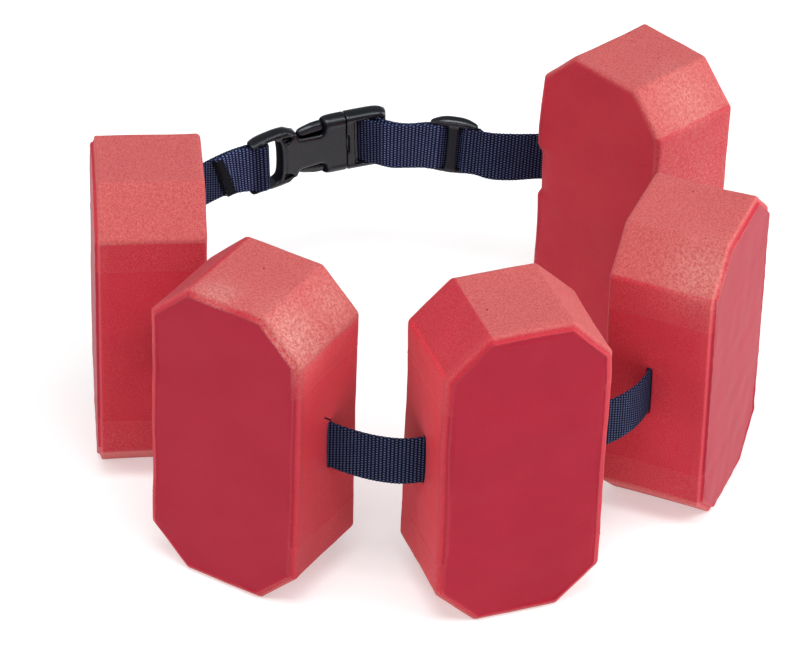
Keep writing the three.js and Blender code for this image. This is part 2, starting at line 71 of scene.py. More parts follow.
# The stepped outer rim: depth from the outer face, inset, corner radius.
OUTER_RIM = [
    (-2.7, 0.0, 3.0), (-2.25, 0.06, 3.0), (-1.95, 0.25, 3.0), (-1.75, 0.6, 2.9), (-1.6, 1.1, 2.8),
    (-1.4, 1.7, 2.7), (-1.2, 2.2, 2.6), (-1.0, 2.5, 2.5), (-0.6, 2.7, 2.4), (-0.2, 2.82, 2.3),
    (0.08, 3.0, 2.2), (0.14, 3.25, 2.2), (0.04, 3.5, 2.1), (-0.04, 3.9, 2.0),
]
# Plain rings of the wall: how far they keep from the inner and the outer face, and the step between them.
WALL = Record(inner=3.6, outer=3.2, step=1.3)
# Rings of the inner and outer face: shares of the way from rim to spine, and half the spine's length.
FACE_SHARES = [0.02, 0.05, 0.09, 0.14, *np.arange(0.2, 0.95, 0.07), 0.96, 1.0]
FACE_SPINE = 38
# Slits: half the opening, half the height and the rounding of the ends. A short cut crosses the upper end of
# float_front_left's slit, between two places of depth and height, from x outwards.
SLIT = Record(half=1.25, reach=12.95, round=1.0)
CROSS_CUT = Record(start=(-5.2, 18.0), end=(0.6, 12.8), half=0.3, x=30)

# Relief of the foam, in mm: waves, sunken ends and walls, ridges on the mould lines, the rim's bead, the dish
# round the slit and the bulge of the outer face.
LONG_WAVE = Record(height=0.16, length=50)
SHORT_WAVE = Record(height=0.05, length=14)
SINK = Record(ends=0.5, walls=0.35)
MOULD_RIDGE = Record(height=0.22, width=0.4, length=9)
RIM_BEAD = Record(height=0.07, width=0.35, inset=3.2, length=7)
SLIT_DISH = Record(depth=0.9, half_y=8, half_z=15, x=30)
BULGE = {"float_left": 0.9, "others": 0.25, "half_x": 39, "half_z": 78}
# Marks of use: heights and pushes of float_back's inner edge, the nick in float_front_left's upper rim, and
# spots of scuffing as x, depth, z, radius and strength. float_back's large low spot is a painted pale sheen
# on its side.
BACK_EDGE = [(-25, 0), (-9, 0.3), (-6, -1.4), (15, -0.9), (20, 1.4), (30, 1.5), (45, 0.8), (60, 0)]
BACK_EDGE_REACH = Record(x=6, y=7, share=0.75)
NICK = Record(x=6.0, half=3.6, depth=0.9, inset=0.6, width=1.1, above=70, length=2)
SCUFFS_AND_SHEEN = {
    "float_front_left": [(30, 40, 66, 15, 0.85), (-6, 45, 78, 9, 0.6), (30, 12, 66, 12, 0.5)],
    "float_right": [(-30, 40, 66, 16, 0.5)],
    # Its second spot, large and low, is a painted pale sheen on the side.
    "float_back": [(-30, 25, 66, 18, 0.45), (-39, 25, 15, 45, 0.35)],
}
SCUFF_WAVE = Record(height=0.16, length=2.6, count=24)
# Paler wear on the outer rim with painted highlights on its light-catching edges, more of it upwards, a
# painted highlight line on the corner inside the rim, and paler wear on the mould lines.
RIM_BAND = 6
RIM_WEAR_AND_HIGHLIGHT = Record(inset=0.9, width=0.9, share=0.35, more=0.5, more_from=20, more_over=40)
CORNER_HIGHLIGHT = Record(inset=3.1, width=0.3, share=0.5)
MOULD_WEAR = 0.6
# Grain of each kind of face, from smooth skin to cut foam, and the cut corners that are smoother than others.
# Grain also sets the colour: the smooth skin is painted darker as shade on the outer faces, and the cut foam
# and its speckles paler as painted sheen where light falls on the tops and corners.
GRAIN = Record(cut=1.0, side_ends=0.5, side_middle=0.3, smoother=0.5, inner_face=0.14, outer_face=0.06)
SMOOTHER = {"float_front_left": (2,), "float_front_right": (2,)}
# Painted light on the front floats' sides: how much brighter red they are painted at their lower and upper
# ends. It fades at the rim.
PAINTED_SIDE_LIGHT = {"float_front_left": (0.0, 0.95), "float_front_right": (0.45, 0.85)}
PAINTED_SIDE_LIGHT_ENDS = (-60, 45)
PAINTED_SIDE_LIGHT_FADE = 3

# Webbing: sizes in mm; a rib is one crosswise thread, and lengthwise threads pass over every other rib.
WEB_WIDTH = 25.0
WEB_THICKNESS = 1.5
RIB_PITCH = 1.68
RIB_BULGE = 0.35
THREAD_COUNT = 38
WEAVE_DEPTH = 0.17
WEB_EDGE = Record(start=11.4, width=1.1, round=1.15, scallop=0.14)
GAP = 0.3
# The strap's path: step of its curve, points each way over which its width way is evened, stations to a rib,
# and which of them are kept inside a float.
CURVE_STEP = 0.12
EVENING = 30
STATIONS_PER_RIB = 3
KEPT_INSIDE = 12

# Places of the buckle and the slider, and the bars that the webbing turns round on one side, by angles.
BUCKLE = Record(x=-41.5, y=131.5, z=80.1, turn=20, pitch=2.6, lean=0)
BUCKLE_CURVE = 250.0
FORK_BEND = Record(start=-22, rate=0.003)
SOCKET_BAR = Record(x=-44.9, z=2.6, half_x=1.7, half_y=13.8, half_z=1.7, side=1, start=125, end=-70)
PLUG_BAR = Record(x=10.2, z=0.0, half_x=1.9, half_z=1.7, side=-1, start=54, end=-90)
PLUG_WAY_IN = [(13.4, 6.4)]
PLUG_WAY_OUT = [(12.4, -2.5), (14, -0.4), (16, 3.6)]
SLIDER = Record(x=11.5, y=132.6, z=79.2, turn=-6, pitch=-2.6, lean=1)
SLIDER_SIDE_HALF_Z = 1.3
SLIDER_BRIDGE = Record(half_z=1.3, raised=3.2)
SLIDER_RISE = Record(start=2.6, length=4.8)
SLIDER_REACH = 12.5
LAYER_STEP = 2.5
# The buckle's half sizes, rounds and ends, and what is cut from it or added to it, in its own axes.
BUCKLE_HALF = Record(y=15.8, z=4.2, round=3.9, start=-60, end=21.3, end_round=2.6, room=0.05)
FORK_CUT = [(-60, -32.4), (-20, 20), (-12, 12)]
LEDGE = [(3.8, 6.4), (-13.4, 13.4), (-4.1, 2.0)]
POCKET = [(-33.2, 12.4), (-28.2, 11.5), (-32.2, 8.2)]
POCKET_DEPTHS = (1.2, 8)
# Rails in the moulding's own axes: x, y, z and half sizes across and in depth. The fork's upper arm runs from
# its tip to the middle, and the slider's rails are given for one half.
FORK_ARM = [
    (-52.2, 13.6, 0.9, 0.25, 0.8), (-51.8, 13.7, 0.8, 0.9, 2.5), (-50.6, 13.9, 0.5, 1.2, 3.5),
    (-47.5, 14.2, 0.1, 1.35, 3.9), (-43.5, 14.35, 0, 1.45, 4.0), (-39.5, 14.35, 0, 1.55, 4.0),
    (-36.6, 13.6, 0, 1.8, 4.0), (-34.6, 11.6, 0, 2.0, 4.0), (-33.6, 8, 0, 2.1, 3.9), (-33.2, 3, 0, 2.1, 3.9),
    (-33.2, 0, 0, 2.1, 3.9),
]
FORK_SHOULDER = [
    (-41, 14.4, 0, 1.4, 4.0), (-36.5, 14.45, 0, 1.55, 4.0), (-33, 14.15, 0, 1.7, 4.0),
    (-30, 13.0, 0, 1.8, 3.95), (-27.6, 11.6, 0, 1.7, 3.8), (-26, 10, 0, 1.4, 3.6),
]
SOCKET_RAIL = [
    (-11.7, 12.8, 0, 0.9, 2.4), (-11.2, 13.2, 0, 1.7, 3.5), (-9.6, 13.8, 0, 2.2, 4.3),
    (-6, 14.0, 0, 2.2, 4.5), (-0.05, 14.0, 0, 2.2, 4.5),
]
PLUG_RAIL = [
    (0.35, 14.4, 0, 1.75, 4.5), (7, 14.4, 0, 1.75, 4.5), (14, 14.4, 0, 1.75, 4.5),
    (17.4, 14.15, 0, 1.55, 4.3), (19.4, 13.65, 0, 1.2, 3.7), (20.5, 13.2, 0, 0.6, 2.4),
]
PRONG = [
    (-24.7, 10.5, 0, 0.4, 0.9), (-24.2, 10.6, 0, 1.2, 1.8), (-22, 11.25, 0, 1.75, 2.3),
    (-17, 12.2, 0, 2.0, 2.45), (-13.2, 12.6, 0, 2.1, 2.45), (-12, 12.6, 0, 2.0, 2.4),
    (-11.7, 12.6, 0, 1.6, 2.0),
]
SLIDER_TOP = [
    (0, 14.75, 1.4, 1.65, 3.3), (3.5, 14.7, 1.5, 1.6, 3.3), (6.5, 14.35, 1.7, 1.45, 3.0),
    (9, 13.8, 2.0, 1.15, 2.5), (10.8, 13.4, 2.4, 0.85, 1.9), (11.8, 13.1, 2.8, 0.2, 0.6),
]
SLIDER_FOOT = [
    (0, 13.85, 1.6, 1.0, 1.9), (3.5, 13.85, 1.6, 1.0, 1.9), (6.5, 13.6, 1.8, 0.85, 1.8),
    (9, 13.3, 1.9, 0.6, 1.6), (10.4, 13.1, 2.6, 0.4, 0.9), (11.0, 13.0, 2.9, 0.15, 0.4),
]
SLIDER_SIDE = Record(x=9.65, z=0.1, half_x=1.2, half_y=12.8, half_z=1.25)
# The slider's middle bar: y and half its width there, and half its depth.
SLIDER_BAR = [
    (-13.6, 3.7), (-12.6, 3.2), (-11, 2.75), (-6, 2.6), (0, 2.6), (6, 2.65), (11, 2.8), (12.6, 3.2),
    (13.8, 3.9),
]
SLIDER_BAR_HALF_Z = 1.35
# How the fork's lower finger thins from its root to its tip: from x, over a length, and how far at the most.
SLIM = Record(start=-38, over=8, most=0.9, inwards=0.5, across=0.45)
# Skin of the mouldings: size of its cells in mm, steps of rounding over, and passes of evening.
BUCKLE_SKIN = (0.32, 8, 6)
SLIDER_SKIN = (0.26, 4, 6)
# Duller plastic: the socket's faces that look to the fork's tips, and the front of the slider's middle bar.
SOCKET_MATT = Record(start=0.25, over=0.4)
SLIDER_MATT = Record(share=0.5, x=3.6, x_over=0.6, y=12.6, y_over=1.5, z=2.5)

# The strap's free runs: x, y, z and how far the upper edge leans outwards.
RUN_FLOAT_TO_SLIDER = [
    (65.5, 127.4, 77.2, 1), (54, 127.9, 77.1, 4), (41, 125.6, 77.6, 9), (30.5, 124.6, 78.4, 8),
]
RUN_SLIDER_TO_PLUG = [(-11, 128, 79.9, -2), (-18, 127.4, 80.2, 0)]
RUN_PLUG_TO_SLIDER = [(-16.6, 130.6, 79.7, 0), (-10.4, 130.7, 79.3, -1)]
RUN_TAIL = [(25.4, 127.9, 78, 2)]
RUN_SOCKET_TO_FLOAT = [
    (-87, 109.4, 77.7, 0), (-93.3, 105.9, 77.4, 0), (-98.9, 101.2, 77.5, 0), (-107.6, 92.4, 77.5, 0),
    (-118.6, 78.5, 77.5, 0), (-128, 59.5, 77.5, 0),
]
RUN_SEWN_END = [(-99.4, 98.1, 77.5, 0), (-92.2, 104.3, 77.5, 0), (-87, 106, 77.7, 0), (-83, 106.1, 77.8, 0)]
# How far the strap bows between floats, and how far inside a float it already runs straight.
BOW_FULLNESS = [0.5, 1, 1, 1]
STRAIGHT_FROM = 6
# The sewn end is cut slanting, and the slant fades along the strap.
SEWN_SLANT = math.tan(math.radians(18))
SLANT_FADE = 9
# Stitching on the sewn end: the bar tack's start along the strap, its width and how it widens downwards, half
# its height, the step between threads, and the drop to the layer below.
BAR_TACK = Record(start=-1.4, reach=6.4, widening=0.2, half=11.4, step=0.42, drop=1.3, drop_over=0.7)
LONG_STITCH = Record(at=9.2, pitch=2.6, length=2.1)
THREAD_RADIUS = 0.22
THREAD_SIDES = 7
THREAD_LIFT = Record(tack=0.66, long=0.6, arch=0.4)
# Painted light and shade on the webbing: how much paler it is painted by the plug and on the sewn end, how
# much darker in front, and where.
WEB_PAINTED_LIGHT = Record(plug_run=0.65, sewn_end=1.2, front=-0.17, fade=3)
WEB_PAINTED_LIGHT_PLACES = Record(plug_x=(-24, 7), plug_y=110, sewn_until=19, front_y=-80)

# Colours, from dark to light where there are two.
# Skin painted darker as shade on the faces; cut foam and speckles painted paler as sheen from above.
FOAM_SKIN_SHADED = [(0.32, 0.005, 0.023), (0.345, 0.007, 0.027)]
FOAM_SIDE = [(0.45, 0.014, 0.033), (0.49, 0.018, 0.038)]
FOAM_CUT_AND_SHEEN = [(0.47, 0.055, 0.062), (0.55, 0.092, 0.092)]
FOAM_PAINTED_LIGHT = (0.64, 0.02, 0.04)
FOAM_SPECKLE_AND_SHEEN = (0.74, 0.29, 0.25)
FOAM_FLUFF_AND_HIGHLIGHT = (0.68, 0.15, 0.14)
FOAM_SCUFF_AND_SHEEN = (0.7, 0.37, 0.31)
# Painted shade in tiny pits.
FOAM_PIT_SHADE = (0.2, 0.01, 0.015)
# The weft is painted darker between the ribs as shade in the hollows; the warp's spots are painted highlights
# on the yarn.
WEFT_AND_HOLLOW_SHADE = [(0.003, 0.0035, 0.012), (0.0085, 0.012, 0.037)]
WARP_HIGHLIGHT = (0.11, 0.145, 0.275)
WEB_DUST = (0.008, 0.01, 0.03)
PLASTIC = [(0.0035, 0.0047, 0.008), (0.0055, 0.0067, 0.0105)]
PLASTIC_SHINE = (0.9, 0.95, 1.0)
THREAD = [(0.003, 0.0034, 0.0055), (0.01, 0.011, 0.0155)]
FLOOR = [(0.7, 0.71, 0.71), (0.72, 0.73, 0.73)]
WHITE = (1.0, 1.0, 1.0)
# Half sizes of the painted highlight spot on a warp thread, as shares of its cell across and along the strap.
WARP_HIGHLIGHT_SPOT = Record(across=0.36, along=0.40)

# Lamps: name, place and size in m, power in W. Then the place they face, glows, the floor and the camera.
LIGHTS = [
    ("light_above", (-0.1, -0.8, 2.0), (1.1, 0.7), 22.5),
    ("light_right_front", (0.98, -0.62, 1.75), (0.9, 0.7), 9.0),
    ("light_right", (2.0, 0.1, 0.75), (1.2, 1.2), 34.0),
    ("light_front", (-0.6, -2.3, 0.95), (1.4, 1.0), 7.5),
    ("light_left", (-2.0, -0.2, 1.0), (1.6, 1.6), 17.0),
]
LIT_PLACE = (0, 0, 0.07)
WORLD_GLOW = 0.27
FLOOR_GLOW = 0.42
FLOOR_HALF = 12000.0
CAMERA = Record(aim=(-11, -3, 65), rise=35.7, distance=1.923, roll=2.06, lens=186.84, clip_end=50.0)


# Meshes

def hump(values, middle, width):
    """1 at the middle, falling off smoothly over the width."""
    return np.exp(-((values - middle) / width) ** 2)


def ramp(values, start, length):
    """0 up to the start, rising to 1 over the length."""
    return np.clip((values - start) / length, 0, 1)


def unit(vectors):
    return vectors / np.linalg.norm(vectors, axis=-1, keepdims=True)


def waves(points, length, seed, count=14):
    """A smooth random field of about unit size, with bumps of the given length."""
    chance = np.random.default_rng(seed)
    total = np.zeros(len(points))
    for _ in range(count):
        way = chance.normal(size=3)
        way *= 2 * math.pi / (length * chance.uniform(0.7, 1.5) * np.linalg.norm(way))
        total += np.sin(points @ way + chance.uniform(0, 2 * math.pi))
    return total / math.sqrt(count / 2)


def added(name, data):
    """A new object in the scene."""
    made = bpy.data.objects.new(name, data)
    bpy.context.scene.collection.objects.link(made)
    return made


def piece(name, points, faces):
    """A mesh object from points in mm."""
    mesh = bpy.data.meshes.new(name)
    mesh.from_pydata((np.asarray(points) * MM).tolist(), [], [list(f) for f in faces])
    mesh.update()
    return added(name, mesh)


def mark(obj, name, values):
    """Stores a number or a vector at each of obj's points."""
    values = np.asarray(values, np.float32)
    kind, key = ("FLOAT", "value") if values.ndim == 1 else ("FLOAT_VECTOR", "vector")
    obj.data.attributes.new(name, kind, "POINT").data.foreach_set(key, values.ravel())


def fixed(obj):
    """Replaces obj's mesh by what its modifiers make of it."""
    graph = bpy.context.evaluated_depsgraph_get()
    seen = obj.evaluated_get(graph)
    old = obj.data
    new = bpy.data.meshes.new_from_object(seen, preserve_all_data_layers=True, depsgraph=graph)
    obj.modifiers.clear()
    obj.data = new
    bpy.data.meshes.remove(old)


def carve(obj, other, operation):
    """Joins the other body to obj, cuts it from obj, or keeps what both share, and removes the other."""
    step = obj.modifiers.new("carve", "BOOLEAN")
    step.operation = operation
    step.object = other
    step.solver = "EXACT"
    fixed(obj)
    bpy.data.objects.remove(other)


def outward(obj, weld=None):
    """Turns obj's faces outwards, and joins points closer than weld mm."""
    work = bmesh.new()
    work.from_mesh(obj.data)
    if weld:
        bmesh.ops.remove_doubles(work, verts=work.verts, dist=weld * MM)
    bmesh.ops.recalc_face_normals(work, faces=work.faces)
    work.to_mesh(obj.data)
    work.free()


def vertex_values(obj, name):
    found = np.empty(len(obj.data.vertices) * 3, np.float32)
    obj.data.vertices.foreach_get(name, found)
    return found.reshape(-1, 3)


def points_of(obj):
    return vertex_values(obj, "co").astype(float) / MM


def ring_faces(first, rings, count):
    """Faces between neighbouring rings of count points each."""
    faces = []
    for ring in range(first, first + rings - 1):
        for i in range(count):
            k = (i + 1) % count
            faces.append((ring * count + i, ring * count + k, (ring + 1) * count + k, (ring + 1) * count + i))
    return faces


# Floats

def inner_shares(steps):
    return np.linspace(0, 1, steps + 1)[1:-1]


def side_shares():
    """Shares of a side facet's length at which it is cut, closer together at the mould lines."""
    length = FLOAT_HEIGHT - 2 * CORNER_CUT
    near = [(line + step) / length + 0.5 for line in (-MOULD_LINE, MOULD_LINE) for step in MOULD_STEPS]
    even = inner_shares(FACET_STEPS.side)
    kept = [x for x in even if min(abs(x - n) for n in near) * length > MOULD_ROOM]
    return sorted(kept + near)


CORNER_SHARES = inner_shares(FACET_STEPS.corner)
FACET_SHARES = [CORNER_SHARES, inner_shares(FACET_STEPS.end), CORNER_SHARES, side_shares()] * 2


def outline(inset, radius):
    """The float's eight-sided outline drawn in by an inset: points, outward ways and facet numbers."""
    half_x = FLOAT_WIDTH / 2 - inset
    half_z = FLOAT_HEIGHT / 2 - inset
    cut = CORNER_CUT - inset * (2 - math.sqrt(2))
    quarter = [(half_x, half_z - cut), (half_x - cut, half_z)]
    upper = quarter + [(-x, z) for x, z in reversed(quarter)]
    corners = np.array(upper + [(x, -z) for x, z in reversed(upper)])
    ways = unit(np.roll(corners, -1, 0) - corners)
    sideways = np.stack([ways[:, 1], -ways[:, 0]], 1)
    reach = radius * math.tan(math.pi / 8)
    points, normals, facets = [], [], []
    for i, shares in enumerate(FACET_SHARES):
        before = i - 1
        for share in np.linspace(0, 1, ARC_STEPS + 1):
            turned = sideways[before] * math.sin((1 - share) * math.pi / 4)
            normal = unit(turned + sideways[i] * math.sin(share * math.pi / 4))
            centre = corners[i] - ways[before] * reach - sideways[before] * radius
            points.append(centre + normal * radius)
            normals.append(normal)
            facets.append(i)
        start = corners[i] + ways[i] * reach
        end = corners[(i + 1) % len(corners)] - ways[i] * reach
        for share in shares:
            points.append(start + (end - start) * share)
            normals.append(sideways[i])
            facets.append(i)
    return np.array(points), np.array(normals), np.array(facets)


def float_skin():
    """A plain float's points and faces, and where on the float each point lies."""
    walls = np.arange(WALL.inner, FLOAT_THICKNESS - WALL.outer, WALL.step)
    rim_rows = [(FLOAT_THICKNESS + depth, inset, radius) for depth, inset, radius in OUTER_RIM]
    rings = INNER_EDGE + [(depth, 0.0, CORNER_ROUND) for depth in walls] + rim_rows
    base, _, facets = outline(0, CORNER_ROUND)
    count = len(base)
    rows = []
    for depth, inset, radius in rings:
        at, out, _ = outline(inset, radius)
        at = np.insert(at, 1, FLOAT_THICKNESS / 2 - depth, axis=1)
        rows.append((at, np.insert(out, 1, 0, axis=1), depth, inset, True))
    faces = ring_faces(0, len(rings), count)
    for start, way in ((0, 1.0), (len(rings) - 1, -1.0)):
        rim, _, depth, inset, _ = rows[start]
        spine = np.clip(rim, (0, -np.inf, -FACE_SPINE), (0, np.inf, FACE_SPINE))
        ways = np.tile([0.0, way, 0.0], (count, 1))
        order = [start]
        for share in FACE_SHARES:
            order.append(len(rows))
            rows.append((rim + (spine - rim) * share, ways, depth, inset, False))
        for a, b in zip(order, order[1:]):
            for i in range(count):
                k = (i + 1) % count
                quad = (a * count + i, b * count + i, b * count + k, a * count + k)
                faces.append(quad if way > 0 else tuple(reversed(quad)))
    points, ways, depths, insets, wall = zip(*rows)
    skin = Record(faces=faces, points=np.concatenate(points), ways=np.concatenate(ways))
    skin.depths, skin.insets, skin.wall = (np.repeat(part, count) for part in (depths, insets, wall))
    skin.facets, heights = (np.tile(part, len(rows)) for part in (facets, base[:, 1]))
    skin.side = skin.wall & np.isin(skin.facets, SIDES)
    skin.beyond_lines = np.abs(heights) > MOULD_LINE
    flat_side = skin.side & (np.abs(skin.ways[:, 0]) > 0.9)
    skin.mould_line = flat_side * hump(np.abs(heights), MOULD_LINE, MOULD_RIDGE.width)
    skin.outer_rim = skin.wall & (skin.depths > FLOAT_THICKNESS - RIM_BAND)
    return skin


def scuff_and_sheen_at(row, skin):
    """How much scuffing each point of the wall has, and the painted pale sheen in float_back's large low
    spot.
    """
    scuff_and_sheen = np.zeros(len(skin.points))
    for x, depth, z, radius, strength in SCUFFS_AND_SHEEN.get(row.name, []):
        away = np.linalg.norm(skin.points - np.array([x, FLOAT_THICKNESS / 2 - depth, z]), axis=1)
        scuff_and_sheen = np.maximum(scuff_and_sheen, strength * hump(away, 0, radius))
    return scuff_and_sheen * skin.wall


def with_relief(row, skin, scuff_and_sheen):
    """The skin's points, moved by the foam's waves, sinks, ridges, dish, scuffs and bulge."""
    points, seed = skin.points, row.seed
    x, y, z = points.T

    def wave(kind, turn, count=14):
        return kind.height * waves(points, kind.length, seed + turn, count)

    middle = FLOAT_THICKNESS / 2
    across = np.clip(1 - ((skin.depths - middle) / middle) ** 2, 0, 1)
    moved = wave(LONG_WAVE, 0) + wave(SHORT_WAVE, 1)
    moved -= np.where(np.isin(skin.facets, ENDS), SINK.ends, SINK.walls) * across * skin.wall
    moved += skin.mould_line * (0.75 * MOULD_RIDGE.height + 0.25 * wave(MOULD_RIDGE, 2))
    dish = hump(y, row.slit, SLIT_DISH.half_y) * np.exp(-(z / SLIT_DISH.half_z) ** 4)
    moved -= SLIT_DISH.depth * dish * (np.abs(x) > SLIT_DISH.x) * skin.wall
    moved += scuff_and_sheen * wave(SCUFF_WAVE, 4, SCUFF_WAVE.count)
    bulge = (1 - (x / BULGE["half_x"]) ** 2) * (1 - (z / BULGE["half_z"]) ** 2)
    moved += BULGE.get(row.name, BULGE["others"]) * bulge * ~skin.wall * (skin.ways[:, 1] < 0)
    bead = hump(skin.insets, RIM_BEAD.inset, RIM_BEAD.width) * skin.wall
    made = points + skin.ways * moved[:, None]
    made[:, 1] -= bead * wave(RIM_BEAD, 3)
    return made


def knock(row, skin, points):
    """Moves points where two of the floats are dented or nicked at their edges."""
    x, y, z = points.T
    if row.name == "float_back":
        heights, pushes = np.array(BACK_EDGE, float).T
        near_x = hump(x, FLOAT_WIDTH / 2, BACK_EDGE_REACH.x)
        near_y = hump(y, FLOAT_THICKNESS / 2, BACK_EDGE_REACH.y)
        push = BACK_EDGE_REACH.share * near_x * near_y * np.interp(z, heights, pushes)
        points[:, :2] += push[:, None]
    if row.name == "float_front_left":
        along = np.clip(1 - ((x - NICK.x) / NICK.half) ** 2, 0, 1)
        near = along * hump(skin.insets, NICK.inset, NICK.width) * skin.outer_rim * (z > NICK.above)
        torn = 1 + 0.5 * waves(points, NICK.length, row.seed + 5)
        points[:, 2] -= near * NICK.depth * torn


def mark_foam(made, row, skin, points, scuff_and_sheen):
    """Sets what the foam's material reads: place, grain, rubbed rims with painted highlights, scuffs with a
    painted sheen, and the painted light on the front floats' sides.
    """
    z = points[:, 2]
    side_grain = np.where(skin.beyond_lines, GRAIN.side_ends, GRAIN.side_middle)
    grain = np.where(np.isin(skin.facets, SIDES), side_grain, GRAIN.cut)
    grain = np.where(np.isin(skin.facets, SMOOTHER.get(row.name, ())), GRAIN.smoother, grain)
    grain *= np.clip(1.15 - skin.insets / 3.0, 0.1, 1)
    face_grain = np.where(skin.ways[:, 1] > 0, GRAIN.inner_face, GRAIN.outer_face)
    # Painted highlights on the rim's edges, more upwards, and on the line inside the rim; paler wear on the
    # mould lines.
    more = RIM_WEAR_AND_HIGHLIGHT.more * ramp(z, RIM_WEAR_AND_HIGHLIGHT.more_from, RIM_WEAR_AND_HIGHLIGHT.more_over)
    rim = hump(skin.insets, RIM_WEAR_AND_HIGHLIGHT.inset, RIM_WEAR_AND_HIGHLIGHT.width) * (RIM_WEAR_AND_HIGHLIGHT.share + more)
    corner = CORNER_HIGHLIGHT.share * hump(skin.insets, CORNER_HIGHLIGHT.inset, CORNER_HIGHLIGHT.width)
    worn_and_lit = (rim + corner) * skin.outer_rim + MOULD_WEAR * skin.mould_line
    # Painted light: the front floats' sides brighter red, more upwards.
    painted_side_light = np.interp(z, PAINTED_SIDE_LIGHT_ENDS, PAINTED_SIDE_LIGHT.get(row.name, (0, 0))) * skin.side
    painted_side_light *= ramp(FLOAT_THICKNESS - skin.depths, PAINTED_SIDE_LIGHT_FADE, PAINTED_SIDE_LIGHT_FADE)
    mark(made, "painted_side_light", painted_side_light)
    mark(made, "grain", np.where(skin.wall, grain, face_grain))
    mark(made, "wear_and_highlight", np.clip(worn_and_lit, 0, 1))
    mark(made, "scuff_and_sheen", scuff_and_sheen)
    mark(made, "foam_place", points + 1000 * row.seed)


def slit_cutter(name, shift, crossed):
    """The through slit for the webbing, with its short cross cut at the upper end where there is one."""
    half, reach, past = SLIT.half, SLIT.reach, FLOAT_WIDTH
    straight = reach - SLIT.round
    lower = [(half, -straight), (half * 0.5, -reach), (-half * 0.5, -reach), (-half, -straight)]
    section = lower + [(-y, -z) for y, z in lower]
    rings = [np.array([(x, y + shift, z) for y, z in section]) for x in (-past, past)]
    cutter = body(name, rings, np.asarray)
    if crossed:
        start, end = np.array(CROSS_CUT.start), np.array(CROSS_CUT.end)
        way = unit(end - start)
        off = CROSS_CUT.half * np.array([-way[1], way[0]])
        corners = [start - off, start + off, end + off, end - off] + np.array([shift, 0])
        rings = [np.array([(x, y, z) for y, z in corners]) for x in (CROSS_CUT.x, past)]
        carve(cutter, body(name + "_cross", rings, np.asarray), "UNION")
    outward(cutter)
    return cutter


def float_matrix(row):
    tilt, turn = math.radians(row.tilt), math.radians(row.turn)
    height = FLOAT_HEIGHT / 2 * math.cos(tilt) + (FLOAT_WIDTH / 2 - CORNER_CUT) * math.sin(abs(tilt))
    turned = Matrix.Rotation(turn, 4, "Z") @ Matrix.Rotation(-tilt, 4, "Y")
    return Matrix.Translation((row.x, row.y, height)) @ turned


def float_piece(row):
    skin = float_skin()
    scuff_and_sheen = scuff_and_sheen_at(row, skin)
    points = with_relief(row, skin, scuff_and_sheen)
    knock(row, skin, points)
    matrix = float_matrix(row)
    upright = np.array(matrix)[2]
    below = np.clip(-(points @ upright[:3] + upright[3]), 0, None)
    points += np.outer(below, upright[:3])
    made = piece(row.name + "_foam", points, skin.faces)
    mark_foam(made, row, skin, points, scuff_and_sheen)
    outward(made, 0.02)
    carve(made, slit_cutter(row.name + "_cutter", row.slit, row.name == "float_front_left"), "DIFFERENCE")
    made.data.shade_smooth()
    matrix.translation *= MM
    made.matrix_world = matrix
    return made


# Strap

def placing(row):
    turn, pitch, lean = np.radians([row.turn, row.pitch, row.lean])
    along = Vector((math.cos(turn) * math.cos(pitch), math.sin(turn) * math.cos(pitch), math.sin(pitch)))
    inside = along.cross(Vector((0, 0, 1))).normalized()
    up = inside.cross(along)
    matrix = Matrix((along, up, inside)).transposed().to_4x4()
    matrix = matrix @ Matrix.Rotation(-lean, 4, "X")
    matrix.translation = (row.x, row.y, row.z)
    return matrix


BUCKLE_MATRIX = placing(BUCKLE)
SLIDER_MATRIX = placing(SLIDER)


def placed(points, matrix):
    spot = np.array(matrix)
    return np.asarray(points, float) @ spot[:3, :3].T + spot[:3, 3]


def on_slider(points):
    return placed(points, SLIDER_MATRIX)


def bent(points):
    """Points in the buckle's own axes, bent to its curve and set on the belt."""
    x, y, z = np.asarray(points, float).T
    past = np.minimum(0, x - FORK_BEND.start)
    radius = BUCKLE_CURVE - z - FORK_BEND.rate * past**2
    angle = x / BUCKLE_CURVE
    turned = np.stack([radius * np.sin(angle), y, BUCKLE_CURVE - radius * np.cos(angle)], 1)
    return placed(turned, BUCKLE_MATRIX)


def buckle_knot(x, z):
    return bent([(x, 0, z)])[0], np.array(BUCKLE_MATRIX)[:3, 1]


def slider_knot(x, z):
    return on_slider([(x, 0, z)])[0], np.array(SLIDER_MATRIX)[:3, 1]


def run_knots(rows):
    knots = []
    for x, y, z, lean in rows:
        out = np.array([x, y, 0.0]) / math.hypot(x, y)
        up = np.array([0, 0, 1.0]) + out * math.tan(math.radians(lean))
        knots.append((np.array([x, y, z], float), unit(up)))
    return knots


def wrap_knots(bar):
    radius = bar.half_z + GAP + WEB_THICKNESS / 2
    edge = bar.x + bar.side * (bar.half_x - bar.half_z)
    angles = np.radians(np.linspace(bar.start, bar.end, 7))
    xs = edge + bar.side * radius * np.cos(angles)
    zs = bar.z + radius * np.sin(angles)
    return [buckle_knot(x, z) for x, z in zip(xs, zs)]


def slider_knots(layer, start, end):
    flat = SLIDER_SIDE_HALF_Z + GAP + WEB_THICKNESS / 2 + LAYER_STEP
    under = SLIDER_BRIDGE.raised - SLIDER_BRIDGE.half_z - GAP - WEB_THICKNESS / 2
    knots = []
    for x in np.linspace(start, end, 21):
        share = 0.5 - 0.5 * math.cos(math.pi * ramp(abs(x), SLIDER_RISE.start, SLIDER_RISE.length))
        knots.append(slider_knot(x, under + (flat - under) * share - layer * LAYER_STEP))
    return knots


